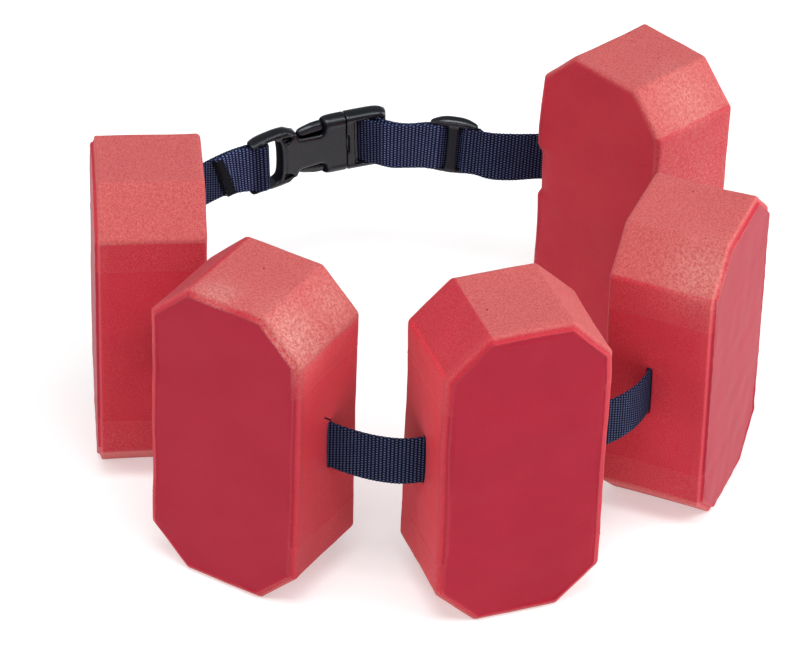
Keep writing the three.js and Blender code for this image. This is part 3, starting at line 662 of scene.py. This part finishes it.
def float_knots(row):
    matrix = float_matrix(row)
    end = FLOAT_WIDTH / 2
    straight = end - STRAIGHT_FROM
    places = placed([(x, row.slit, 0) for x in (-end, -straight, straight, end)], matrix)
    return [(at, np.array(matrix)[:3, 2]) for at in places]


def curve(start, end, leave, enter, t):
    """Places at shares t of a smooth way from start to end."""
    from_start = start * (2 * t**3 - 3 * t**2 + 1) + leave * (t**3 - 2 * t**2 + t)
    return from_start + end * (3 * t**2 - 2 * t**3) + enter * (t**3 - t**2)


def bow_knots(before, after, fullness):
    start, end = before[-1][0], after[0][0]
    length = fullness * np.linalg.norm(end - start)
    leave = length * unit(start - before[-2][0])
    enter = length * unit(after[1][0] - end)
    knots = []
    for t in (0.15, 0.3, 0.5, 0.7, 0.85):
        up = unit(before[-1][1] * (1 - t) + after[0][1] * t)
        knots.append((curve(start, end, leave, enter, t), up))
    return knots


def strap_knots():
    """The strap's knots, and the spans between knots that lie inside a float."""
    knots = run_knots(RUN_SEWN_END)
    knots += wrap_knots(SOCKET_BAR)
    knots += run_knots(RUN_SOCKET_TO_FLOAT)
    hidden = []
    held = [float_knots(row) for row in FLOATS]
    for i, inside in enumerate(held):
        hidden.append(len(knots) + 1)
        knots += inside
        if i + 1 < len(held):
            knots += bow_knots(inside, held[i + 1], BOW_FULLNESS[i])
    knots += run_knots(RUN_FLOAT_TO_SLIDER)
    knots += slider_knots(0, SLIDER_REACH, -SLIDER_REACH)
    knots += run_knots(RUN_SLIDER_TO_PLUG)
    knots += [buckle_knot(x, z) for x, z in PLUG_WAY_IN]
    knots += wrap_knots(PLUG_BAR)
    knots += [buckle_knot(x, z) for x, z in PLUG_WAY_OUT]
    knots += run_knots(RUN_PLUG_TO_SLIDER)
    knots += slider_knots(1, -SLIDER_REACH, SLIDER_REACH)
    knots += run_knots(RUN_TAIL)
    return knots, hidden


def smoothed(knots, hidden):
    """Close points on the centripetal curve through the knots, their width ways, and which are hidden."""
    at = np.array([k[0] for k in knots])
    ups = np.array([k[1] for k in knots])
    ends = np.concatenate([[2 * at[0] - at[1]], at, [2 * at[-1] - at[-2]]])
    places, widths, inside = [], [], []
    for i in range(len(at) - 1):
        p0, p1, p2, p3 = ends[i:i + 4]
        d0, d1, d2 = (max(np.linalg.norm(b - a) ** 0.5, 1e-4) for a, b in ((p0, p1), (p1, p2), (p2, p3)))
        t1 = ((p1 - p0) / d0 - (p2 - p0) / (d0 + d1) + (p2 - p1) / d1) * d1
        t2 = ((p2 - p1) / d1 - (p3 - p1) / (d1 + d2) + (p3 - p2) / d2) * d1
        steps = max(2, int(np.linalg.norm(p2 - p1) / CURVE_STEP))
        t = np.linspace(0, 1, steps, endpoint=i == len(at) - 2)[:, None]
        places.append(curve(p1, p2, t1, t2, t))
        widths.append(ups[i] * (1 - t) + ups[i + 1] * t)
        inside.append(np.full(len(t), i in hidden))
    return np.concatenate(places), np.concatenate(widths), np.concatenate(inside)


def sampled(stations, length, values):
    """Values known at each length, taken at stations."""
    return np.stack([np.interp(stations, length, part) for part in values.T], -1)


def strap_line():
    """Stations along the strap, and there its middle, its width way, its run and its flat's outward way."""
    places, widths, inside = smoothed(*strap_knots())
    steps = np.linalg.norm(np.diff(places, axis=0), axis=1)
    length = np.concatenate([[0], np.cumsum(steps)])
    window = np.ones(2 * EVENING + 1) / (2 * EVENING + 1)
    widths = np.stack([np.convolve(np.pad(part, EVENING, "edge"), window, "valid") for part in widths.T], 1)
    fine = np.arange(0, length[-1], RIB_PITCH / STATIONS_PER_RIB)
    is_inside = np.interp(fine, length, inside.astype(float)) > 0.5
    kept = [s for i, s in enumerate(fine) if not is_inside[i] or i % KEPT_INSIDE == 0]
    line = Record(stations=np.array(kept + [length[-1]]))
    line.at = sampled(line.stations, length, places)
    line.up = unit(sampled(line.stations, length, widths))
    line.along = unit(np.gradient(line.at, axis=0))
    line.flat = unit(np.cross(line.along, line.up))
    return line


def web_face(line, face):
    """One face of the webbing: its points, and their places along and across the strap."""
    columns = np.arange(THREAD_COUNT + 1)
    across = (columns / THREAD_COUNT - 0.5) * WEB_WIDTH
    past_edge = np.clip(np.abs(across) - WEB_EDGE.start, 0, WEB_EDGE.width)
    taper = np.sqrt(np.clip(1 - (past_edge / WEB_EDGE.round) ** 2, 0.05, 1))
    rows = line.stations[:, None] / RIB_PITCH
    rib = np.cos(2 * math.pi * rows)
    over = np.cos(math.pi * (rows + columns + (0 if face > 0 else 1)))
    height = np.maximum(over, RIB_BULGE * rib)
    thick = (WEB_THICKNESS / 2 - WEAVE_DEPTH + WEAVE_DEPTH * height) * taper
    at_edge = (columns == 0) | (columns == THREAD_COUNT)
    wide = across + WEB_EDGE.scallop * rib * at_edge * np.sign(across)
    slant = SEWN_SLANT * wide * np.exp(-line.stations / SLANT_FADE)[:, None]
    spot = line.at[:, None] + line.up[:, None] * wide[..., None]
    spot = spot + line.flat[:, None] * (face * thick)[..., None] - line.along[:, None] * slant[..., None]
    along = np.repeat(line.stations[:, None], len(columns), 1)
    place = np.stack([along, np.tile(across, (len(along), 1)), np.full_like(along, face)], 2)
    return spot, place


def painted_web_light_at(line):
    """How bright the webbing is painted at each station: painted light by the plug and on the sewn end,
    painted shade in front.
    """
    x, y, _ = line.at.T
    start, end = WEB_PAINTED_LIGHT_PLACES.plug_x
    by_plug = ramp(np.minimum(x - start, end - x), 0, WEB_PAINTED_LIGHT.fade) * (y > WEB_PAINTED_LIGHT_PLACES.plug_y)
    sewn = ramp(WEB_PAINTED_LIGHT_PLACES.sewn_until - line.stations, 0, WEB_PAINTED_LIGHT.fade)
    front = y < WEB_PAINTED_LIGHT_PLACES.front_y
    return 1 + WEB_PAINTED_LIGHT.plug_run * by_plug + WEB_PAINTED_LIGHT.sewn_end * sewn + WEB_PAINTED_LIGHT.front * front


def strap_piece(line):
    front, back = web_face(line, 1), web_face(line, -1)
    points, places = (np.concatenate([a, b[:, ::-1]], 1) for a, b in zip(front, back))
    made = body("strap_webbing", points, np.asarray)
    mark(made, "painted_web_light", np.repeat(painted_web_light_at(line), points.shape[1]))
    mark(made, "weave_place", places.reshape(-1, 3))
    made.data.shade_smooth()
    return made


def thread(points, off):
    """Rings of a thread along points, off the given way."""
    way = unit(np.gradient(points, axis=0))
    side = unit(np.cross(way, off))
    lift = np.cross(side, way)
    angles = np.linspace(0, 2 * math.pi, THREAD_SIDES, endpoint=False)[:, None]
    rings = np.cos(angles) * side[:, None] + np.sin(angles) * lift[:, None]
    return (points[:, None] + THREAD_RADIUS * rings).reshape(-1, 3)


def stitch_rows():
    """Rows of places along, across and above the strap: the bar tack's zigzag, then the long stitches."""
    half = BAR_TACK.half
    stops, rows = [], []
    for i, w in enumerate(np.arange(-half, half, BAR_TACK.step)):
        stops.append((BAR_TACK.start + (BAR_TACK.reach - BAR_TACK.widening * w) * (i % 2), w))
    ways = [(*start, *end, THREAD_LIFT.tack, 9) for start, end in zip(stops, stops[1:])]
    for low in np.arange(-half, half - LONG_STITCH.pitch, LONG_STITCH.pitch):
        ways.append((LONG_STITCH.at, low, LONG_STITCH.at, low + LONG_STITCH.length, THREAD_LIFT.long, 6))
    for s0, w0, s1, w1, lift, count in ways:
        t = np.linspace(0, 1, count)
        above = lift + THREAD_LIFT.arch * np.sin(math.pi * t)
        rows.append(np.stack([s0 + (s1 - s0) * t, w0 + (w1 - w0) * t, above], 1))
    return rows


def stitch_piece(line):
    """Bar tack across the strap's sewn end, and one row of long stitches beside it."""
    def spot(s, w, lift):
        parts = (line.at, line.up, line.along, line.flat)
        at, up, along, flat = (sampled(s, line.stations, part) for part in parts)
        back = min(s, 0) - SEWN_SLANT * w * math.exp(-max(s, 0) / SLANT_FADE)
        above = flat * (lift - BAR_TACK.drop * ramp(-s, 0, BAR_TACK.drop_over))
        return at + along * back + up * w + above, flat

    points, faces = [], []
    for row in stitch_rows():
        spots = [spot(*stop) for stop in row]
        first = len(points)
        points.extend(thread(*(np.array(part) for part in zip(*spots))))
        faces += ring_faces(first // THREAD_SIDES, len(row), THREAD_SIDES)
        faces.append(tuple(range(first, first + THREAD_SIDES)))
        faces.append(tuple(reversed(range(len(points) - THREAD_SIDES, len(points)))))
    made = piece("strap_stitching", points, faces)
    outward(made)
    made.data.shade_smooth()
    return made


# Buckle and slider

def body(name, rings, place):
    """A closed body through equal rings of points, its ends filled."""
    count, total = len(rings[0]), len(rings)
    faces = [tuple(range(count)), tuple(reversed(range((total - 1) * count, total * count)))]
    made = piece(name, place(np.concatenate(rings)), faces + ring_faces(0, total, count))
    outward(made)
    return made


def finer(rows, steps=8):
    """Rows on a smooth curve through the given rows."""
    rows = np.array(rows, float)
    ends = np.vstack([2 * rows[0] - rows[1], rows, 2 * rows[-1] - rows[-2]])
    t = np.linspace(0, 1, steps, endpoint=False)[:, None]
    parts = []
    for p0, p1, p2, p3 in zip(ends, ends[1:], ends[2:], ends[3:]):
        parts.append(curve(p1, p2, (p2 - p0) / 2, (p3 - p1) / 2, t))
    return np.vstack(parts + [rows[-1:]])


def oval(power, count=28):
    """A bar's section, an ellipse at power 2 and squarer above."""
    angles = np.linspace(0, 2 * math.pi, count, endpoint=False)
    shape = np.stack([np.cos(angles), np.sin(angles)], 1)
    return np.sign(shape) * np.abs(shape) ** (2 / power)


def dome(count=23):
    """A half round over a flat, from edge to edge and back."""
    angles = np.linspace(0, math.pi, count)
    arch = np.stack([2 * np.sin(angles) ** 0.9 - 1, np.cos(angles)], 1)
    flat = np.stack([np.full(5, -1.0), np.linspace(-1, 1, 7)[1:-1]], 1)
    return np.concatenate([arch, flat])


def full_round(count=23):
    """A circle whose points pair with those of the dome."""
    angles = np.concatenate([np.linspace(-0.25, 1.25, count), np.linspace(1.25, 1.75, 7)[1:-1]]) * math.pi
    return np.stack([np.sin(angles), np.cos(angles)], 1)


def tube(name, rows, place):
    """A rail along a path in the piece's flat plane, domed to its left, and round where it runs upright."""
    rows = finer(rows)
    ways = unit(np.gradient(rows[:, :2], axis=0))
    rings = []
    for (x, y, z, across, deep), (along_x, along_y) in zip(rows, ways):
        shape = dome() + (full_round() - dome()) * along_y**2
        off = max(across, 0.05) * shape[:, 0]
        rings.append(np.stack([x - off * along_y, y + off * along_x, z + max(deep, 0.1) * shape[:, 1]], 1))
    return body(name, rings, place)


def upright_bar(name, bar, side, place):
    shape = oval(2.2) * [bar.half_x, bar.half_z] + [side * bar.x, bar.z]
    heights = np.linspace(-bar.half_y, bar.half_y, 9)
    rings = [np.stack([shape[:, 0], np.full(len(shape), y), shape[:, 1]], 1) for y in heights]
    return body(name, rings, place)


def bent_box(name, low_high):
    (x0, x1), (y0, y1), (z0, z1) = low_high
    rings = [np.array([(x, y0, z0), (x, y1, z0), (x, y1, z1), (x, y0, z1)]) for x in np.linspace(x0, x1, 12)]
    return body(name, rings, bent)


def buckle_envelope(name):
    """The room the buckle fills, with full rounds along its upper and lower edges and at the plug's end."""
    half_y, half_z, end = np.array([BUCKLE_HALF.y, BUCKLE_HALF.z, BUCKLE_HALF.end]) + BUCKLE_HALF.room
    end_round = BUCKLE_HALF.end_round
    straight = end - end_round
    round_xs = straight + end_round * np.sin(np.linspace(0.2, 1.5, 8))
    rings = []
    for x in np.concatenate([np.linspace(BUCKLE_HALF.start, straight, 40), round_xs]):
        into = max(0, x - straight)
        deep = half_z - end_round + math.sqrt(max(end_round**2 - into**2, 0))
        radius = min(BUCKLE_HALF.round, deep - BUCKLE_HALF.room)
        ring = []
        for k, (side_y, side_z) in enumerate(((1, 1), (-1, 1), (-1, -1), (1, -1))):
            for angle in np.radians(np.linspace(0, 90, 9) + 90 * k):
                y = side_y * (half_y - radius) + radius * math.cos(angle)
                z = side_z * (deep - radius) + radius * math.sin(angle)
                ring.append((x, y, z))
        rings.append(np.array(ring))
    return body(name, rings, bent)


def pocket(name, side):
    rings = [np.array([(x, side * y, z) for x, y in POCKET]) for z in POCKET_DEPTHS]
    return body(name, rings, bent)


def copy_of(source, name):
    made = added(name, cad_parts[source].data.copy())
    made.data.materials.clear()
    outward(made, 0.001)
    return made


def moulded(obj, voxel, softening, passes):
    """Turns obj into one fine skin, rounds its edges over, then evens it without shrinking it."""
    fine = obj.modifiers.new("fine", "REMESH")
    fine.mode = "VOXEL"
    fine.voxel_size = voxel * MM
    fixed(obj)
    points = points_of(obj)
    count = len(points)
    edges = np.empty(len(obj.data.edges) * 2, np.int32)
    obj.data.edges.foreach_get("vertices", edges)
    a, b = edges.reshape(-1, 2).T
    degree = np.bincount(edges, minlength=count).astype(float)
    for factor in [0.5] * softening + [0.5, -0.48] * passes:
        total = [np.bincount(a, part[b], count) + np.bincount(b, part[a], count) for part in points.T]
        points = points + factor * (np.stack(total / degree, 1) - points)
    obj.data.vertices.foreach_set("co", (points * MM).astype(np.float32).ravel())
    obj.data.update()
    obj.data.shade_smooth()


def mirrored(rows, side):
    return rows if side > 0 else [(x, -y, *rest) for x, y, *rest in reversed(rows)]


def lower_finger():
    """The fork's other arm, thinning towards its tip."""
    rows = []
    for x, y, z, across, deep in FORK_ARM[:-1]:
        slim = min(ramp(SLIM.start - x, 0, SLIM.over), SLIM.most)
        rows.append((x, y - SLIM.inwards * slim, z, across - SLIM.across * slim, deep))
    return mirrored(rows, -1)


def socket_piece():
    made = copy_of("buckle_socket", "buckle_socket_moulding")
    carve(made, bent_box("fork_cut", FORK_CUT), "DIFFERENCE")
    carve(made, buckle_envelope("socket_room"), "INTERSECT")
    carve(made, tube("fork", FORK_ARM + lower_finger(), bent), "UNION")
    for side in (1, -1):
        carve(made, tube("shoulder", mirrored(FORK_SHOULDER, side), bent), "UNION")
    carve(made, upright_bar("socket_bar", SOCKET_BAR, 1, bent), "UNION")
    for side in (1, -1):
        carve(made, tube("rail", mirrored(SOCKET_RAIL, side), bent), "UNION")
        carve(made, pocket("pocket", side), "DIFFERENCE")
    moulded(made, *BUCKLE_SKIN)
    root, tip = bent([(-33.0, 0, 0), (-35.0, 0, 0)])
    away = vertex_values(made, "normal") @ unit(tip - root)
    mark(made, "matt", ramp(away, SOCKET_MATT.start, SOCKET_MATT.over))
    return made


def plug_piece():
    made = copy_of("buckle_plug", "buckle_plug_moulding")
    carve(made, buckle_envelope("plug_room"), "INTERSECT")
    carve(made, bent_box("ledge", LEDGE), "UNION")
    for side in (1, -1):
        carve(made, tube("prong", mirrored(PRONG, side), bent), "UNION")
        carve(made, tube("rail", mirrored(PLUG_RAIL, side), bent), "UNION")
    moulded(made, *BUCKLE_SKIN)
    return made


def slider_piece():
    halves = []
    for rows, side in ((SLIDER_TOP, 1), (SLIDER_FOOT, -1)):
        other = [(-x, *rest) for x, *rest in rows[:0:-1]]
        halves.append(tube("rail", mirrored(other + rows, side), on_slider))
    made, foot = halves
    made.name = "slider_moulding"
    carve(made, foot, "UNION")
    for side in (1, -1):
        carve(made, upright_bar("side_bar", SLIDER_SIDE, side, on_slider), "UNION")
    shape = oval(2.3)
    deep = SLIDER_BRIDGE.raised + SLIDER_BAR_HALF_Z * shape[:, 1]
    rings = [np.stack([half * shape[:, 0], np.full(len(shape), y), deep], 1) for y, half in finer(SLIDER_BAR)]
    carve(made, body("bridge", rings, on_slider), "UNION")
    moulded(made, *SLIDER_SKIN)
    x, y, z = np.abs(placed(points_of(made), SLIDER_MATRIX.inverted()).T)
    matt = ramp(SLIDER_MATT.x - x, 0, SLIDER_MATT.x_over) * ramp(SLIDER_MATT.y - y, 0, SLIDER_MATT.y_over)
    mark(made, "matt", SLIDER_MATT.share * matt * (z > SLIDER_MATT.z))
    return made


# Materials

def shader(name):
    material = bpy.data.materials.new(name)
    material.use_nodes = True
    material.node_tree.nodes.clear()
    return material, material.node_tree


def node(tree, kind, inputs=(), **settings):
    made = tree.nodes.new(kind)
    for key, value in settings.items():
        setattr(made, key, value)
    for key, value in dict(inputs).items():
        if isinstance(value, bpy.types.NodeSocket):
            tree.links.new(value, made.inputs[key])
        else:
            made.inputs[key].default_value = value
    return made


def attribute(tree, name, output="Fac"):
    return node(tree, "ShaderNodeAttribute", attribute_name=name).outputs[output]


def object_place(tree):
    return node(tree, "ShaderNodeTexCoord").outputs["Object"]


def calc(operation, a, b=0.0):
    return node(a.id_data, "ShaderNodeMath", {0: a, 1: b}, operation=operation).outputs[0]


def times(a, b):
    return calc("MULTIPLY", a, b)


def plus(a, b):
    return calc("ADD", a, b)


def off_middle(value):
    """How far a value is from the nearest whole number."""
    return calc("SUBTRACT", calc("FRACT", plus(value, 0.5)), 0.5)


def paint(shade):
    return (*shade, 1.0)


def blend(factor, a, b):
    return node(factor.id_data, "ShaderNodeMix", {0: factor, 6: a, 7: b}, data_type="RGBA").outputs[2]


def span(value, low, high, to_low=0.0, to_high=1.0):
    inputs = {"Value": value, "From Min": low, "From Max": high, "To Min": to_low, "To Max": to_high}
    return node(value.id_data, "ShaderNodeMapRange", inputs, interpolation_type="SMOOTHSTEP").outputs[0]


def mottled(value, shades, low=0.3, high=0.7):
    """From the first shade to the second as the value goes from low to high."""
    return blend(span(value, low, high), paint(shades[0]), paint(shades[1]))


def noise(place, scale, detail=2.0, roughness=0.5):
    inputs = {"Vector": place, "Scale": scale, "Detail": detail, "Roughness": roughness}
    return node(place.id_data, "ShaderNodeTexNoise", inputs).outputs[0]


def bump(height, strength, depth):
    """A bump whose depth is in mm."""
    inputs = {"Height": height, "Strength": strength, "Distance": depth * MM}
    return node(height.id_data, "ShaderNodeBump", inputs).outputs[0]


def surface(colour, roughness, normal, specular, **constants):
    inputs = {"Base Color": colour, "Roughness": roughness, "Normal": normal, "Specular IOR Level": specular}
    principled = node(colour.id_data, "ShaderNodeBsdfPrincipled", inputs | constants)
    node(colour.id_data, "ShaderNodeOutputMaterial", {"Surface": principled.outputs[0]})


def painted_pit_shade(place):
    """A few small round spots, painted dark as the shade in tiny pits."""
    cell = node(place.id_data, "ShaderNodeTexVoronoi", {"Vector": place, "Scale": 0.16})
    lot = node(place.id_data, "ShaderNodeSeparateColor", {"Color": cell.outputs["Color"]}).outputs[0]
    inside = calc("LESS_THAN", cell.outputs["Distance"], 0.09)
    return times(inside, calc("GREATER_THAN", lot, 0.93))


def foam_material():
    material, tree = shader("foam")
    place = attribute(tree, "foam_place", "Vector")
    grain = attribute(tree, "grain")
    speckle = span(noise(place, 1.8, 3.0, 0.65), 0.4, 0.66)
    coarse = noise(place, 0.8, 3.0, 0.6)
    cloud = noise(place, 0.035, 3.0, 0.5)
    # By grain: darker skin, painted shade on the faces; paler cut foam and speckles, painted sheen on the lit
    # tops.
    skin = mottled(cloud, FOAM_SKIN_SHADED)
    side = mottled(cloud, FOAM_SIDE)
    cut = mottled(coarse, FOAM_CUT_AND_SHEEN, 0.35, 0.65)
    shade = blend(span(grain, 0.08, 0.16), skin, side)
    # Painted light on the front floats' sides.
    shade = blend(attribute(tree, "painted_side_light"), shade, paint(FOAM_PAINTED_LIGHT))
    shade = blend(span(grain, 0.45, 1.0), shade, cut)
    shade = blend(times(speckle, times(grain, 0.3)), shade, paint(FOAM_SPECKLE_AND_SHEEN))
    # Pale fluff with painted highlights on the rim's edges and the line inside it.
    fluff_and_highlight = times(attribute(tree, "wear_and_highlight"), span(coarse, 0.25, 0.6, 0.35, 1.0))
    shade = blend(times(fluff_and_highlight, 0.28), shade, paint(FOAM_FLUFF_AND_HIGHLIGHT))
    patchy = span(noise(place, 0.8, 4.0, 0.7), 0.38, 0.64, 0.15, 0.85)
    # Pale scuffs, and a painted pale sheen on float_back's side.
    shade = blend(times(attribute(tree, "scuff_and_sheen"), patchy), shade, paint(FOAM_SCUFF_AND_SHEEN))
    shade = blend(times(painted_pit_shade(place), grain), shade, paint(FOAM_PIT_SHADE))
    roughness = span(grain, 0.0, 1.0, 0.5, 0.8)
    height = times(grain, plus(speckle, coarse))
    height = plus(height, times(noise(place, 0.25, 4.0), 0.35))
    shine = span(grain, 0.1, 0.9, 0.13, 0.3)
    sheen = {"Sheen Weight": 0.06, "Sheen Roughness": 0.45}
    surface(shade, roughness, bump(height, 0.5, 0.3), shine, **sheen)
    return material


def webbing_material():
    material, tree = shader("webbing")
    place = attribute(tree, "weave_place", "Vector")
    along, across, face = node(tree, "ShaderNodeSeparateXYZ", {0: place}).outputs
    rows = calc("DIVIDE", along, RIB_PITCH)
    rib = calc("FLOOR", plus(rows, 0.5))
    odd = calc("PINGPONG", plus(rib, calc("LESS_THAN", face, 0.0)), 1.0)
    columns = calc("DIVIDE", plus(across, WEB_WIDTH / 2), 2 * WEB_WIDTH / THREAD_COUNT)
    off_row = off_middle(rows)
    off_thread = off_middle(plus(columns, times(odd, 0.5)))
    u = calc("DIVIDE", off_thread, WARP_HIGHLIGHT_SPOT.across)
    v = calc("DIVIDE", off_row, WARP_HIGHLIGHT_SPOT.along)
    dot = span(calc("SQRT", plus(times(u, u), times(v, v))), 1.0, 0.35)
    stretch = {0: place, 1: (1.2, 6.0, 1.0)}
    stretched = node(tree, "ShaderNodeVectorMath", stretch, operation="MULTIPLY").outputs[0]
    fibre = noise(stretched, 1.0, 3.0)
    lit = times(dot, span(fibre, 0.3, 0.7, 0.45, 1.0))
    # Painted shade between the ribs, then painted highlights on the warp's spots.
    shade = mottled(calc("ABSOLUTE", off_row), WEFT_AND_HOLLOW_SHADE, 0.5, 0.15)
    shade = blend(lit, shade, paint(WARP_HIGHLIGHT))
    shade = blend(span(noise(place, 0.12), 0.35, 0.65, 0.0, 0.15), shade, paint(WEB_DUST))
    # Painted light and shade along the strap.
    painted_web_light = {0: shade, "Scale": attribute(tree, "painted_web_light")}
    shade = node(tree, "ShaderNodeVectorMath", painted_web_light, operation="SCALE").outputs[0]
    normal = bump(plus(dot, times(fibre, 0.4)), 0.8, 0.2)
    surface(shade, span(fibre, 0.2, 0.8, 0.5, 0.7), normal, span(lit, 0.0, 1.0, 0.03, 0.25))
    return material


def plastic_material():
    material, tree = shader("plastic")
    place = object_place(tree)
    texture = noise(place, 2600.0)
    cloud = noise(place, 90.0, 3.0)
    matt = attribute(tree, "matt")
    roughness = span(plus(cloud, times(texture, 0.4)), 0.4, 0.9, 0.22, 0.34)
    roughness = plus(roughness, times(matt, 0.5))
    height = plus(texture, times(noise(place, 700.0), 0.6))
    shine = span(matt, 0.0, 1.0, 0.55, 0.03)
    tint = {"Specular Tint": paint(PLASTIC_SHINE)}
    surface(mottled(cloud, PLASTIC), roughness, bump(height, 0.25, 0.05), shine, **tint)
    return material


def thread_material():
    material, tree = shader("thread")
    strand = noise(object_place(tree), 3000.0)
    roughness = span(strand, 0.2, 0.8, 0.5, 0.7)
    surface(mottled(strand, THREAD), roughness, bump(strand, 0.4, 0.05), 0.1)
    return material


def floor_material():
    material, tree = shader("floor")
    cloud = noise(object_place(tree), 1.5)
    shade = blend(cloud, paint(FLOOR[0]), paint(FLOOR[1]))
    glow = {"Emission Color": paint(WHITE), "Emission Strength": FLOOR_GLOW}
    surface(shade, 0.9, bump(cloud, 0.02, 1.0), 0.1, **glow)
    return material


def dress(obj, material, slot, *nodes):
    obj.data.materials.clear()
    obj.data.materials.append(material)
    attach(obj, "root")
    if nodes:
        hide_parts(*nodes)
    return obj


foam = foam_material()
for row in FLOATS:
    dress(float_piece(row), foam, "foam", row.name)
line = strap_line()
dress(strap_piece(line), webbing_material(), "webbing", "strap")
dress(stitch_piece(line), thread_material(), "webbing")
plastic = plastic_material()
dress(socket_piece(), plastic, "plastic", "buckle_socket")
dress(plug_piece(), plastic, "plastic", "buckle_plug")
dress(slider_piece(), plastic, "plastic", "slider")


# Floor, light and camera

def floor_plane():
    corners = [(FLOOR_HALF * x, FLOOR_HALF * y, 0) for x, y in ((-1, -1), (1, -1), (1, 1), (-1, 1))]
    made = piece("floor", corners, [(0, 1, 2, 3)])
    made.data.materials.append(floor_material())


def soft_light(name, place, size, power):
    lamp = bpy.data.lights.new(name, "AREA")
    lamp.shape = "RECTANGLE"
    lamp.size, lamp.size_y = size
    lamp.energy = power
    made = added(name, lamp)
    made.location = place
    made.rotation_euler = (Vector(LIT_PLACE) - Vector(place)).to_track_quat("-Z", "Y").to_euler()


def lighting():
    world = bpy.data.worlds.new("studio")
    bpy.context.scene.world = world
    world.use_nodes = True
    sky = world.node_tree.nodes["Background"].inputs
    sky[0].default_value = paint(WHITE)
    sky[1].default_value = WORLD_GLOW
    for row in LIGHTS:
        soft_light(*row)
    bpy.context.scene.view_settings.view_transform = "Standard"


def camera():
    lens = bpy.data.cameras.new("camera")
    lens.sensor_width = 36.0
    lens.lens = CAMERA.lens
    lens.clip_end = CAMERA.clip_end
    made = added("camera", lens)
    rise = math.radians(CAMERA.rise)
    back = Vector((0, -math.cos(rise), math.sin(rise)))
    made.location = Vector(CAMERA.aim) * MM + back * CAMERA.distance
    roll = Matrix.Rotation(math.radians(CAMERA.roll), 3, "Z")
    turned = (-back).to_track_quat("-Z", "Y").to_matrix() @ roll
    made.rotation_euler = turned.to_euler()
    bpy.context.scene.camera = made


floor_plane()
lighting()
camera()
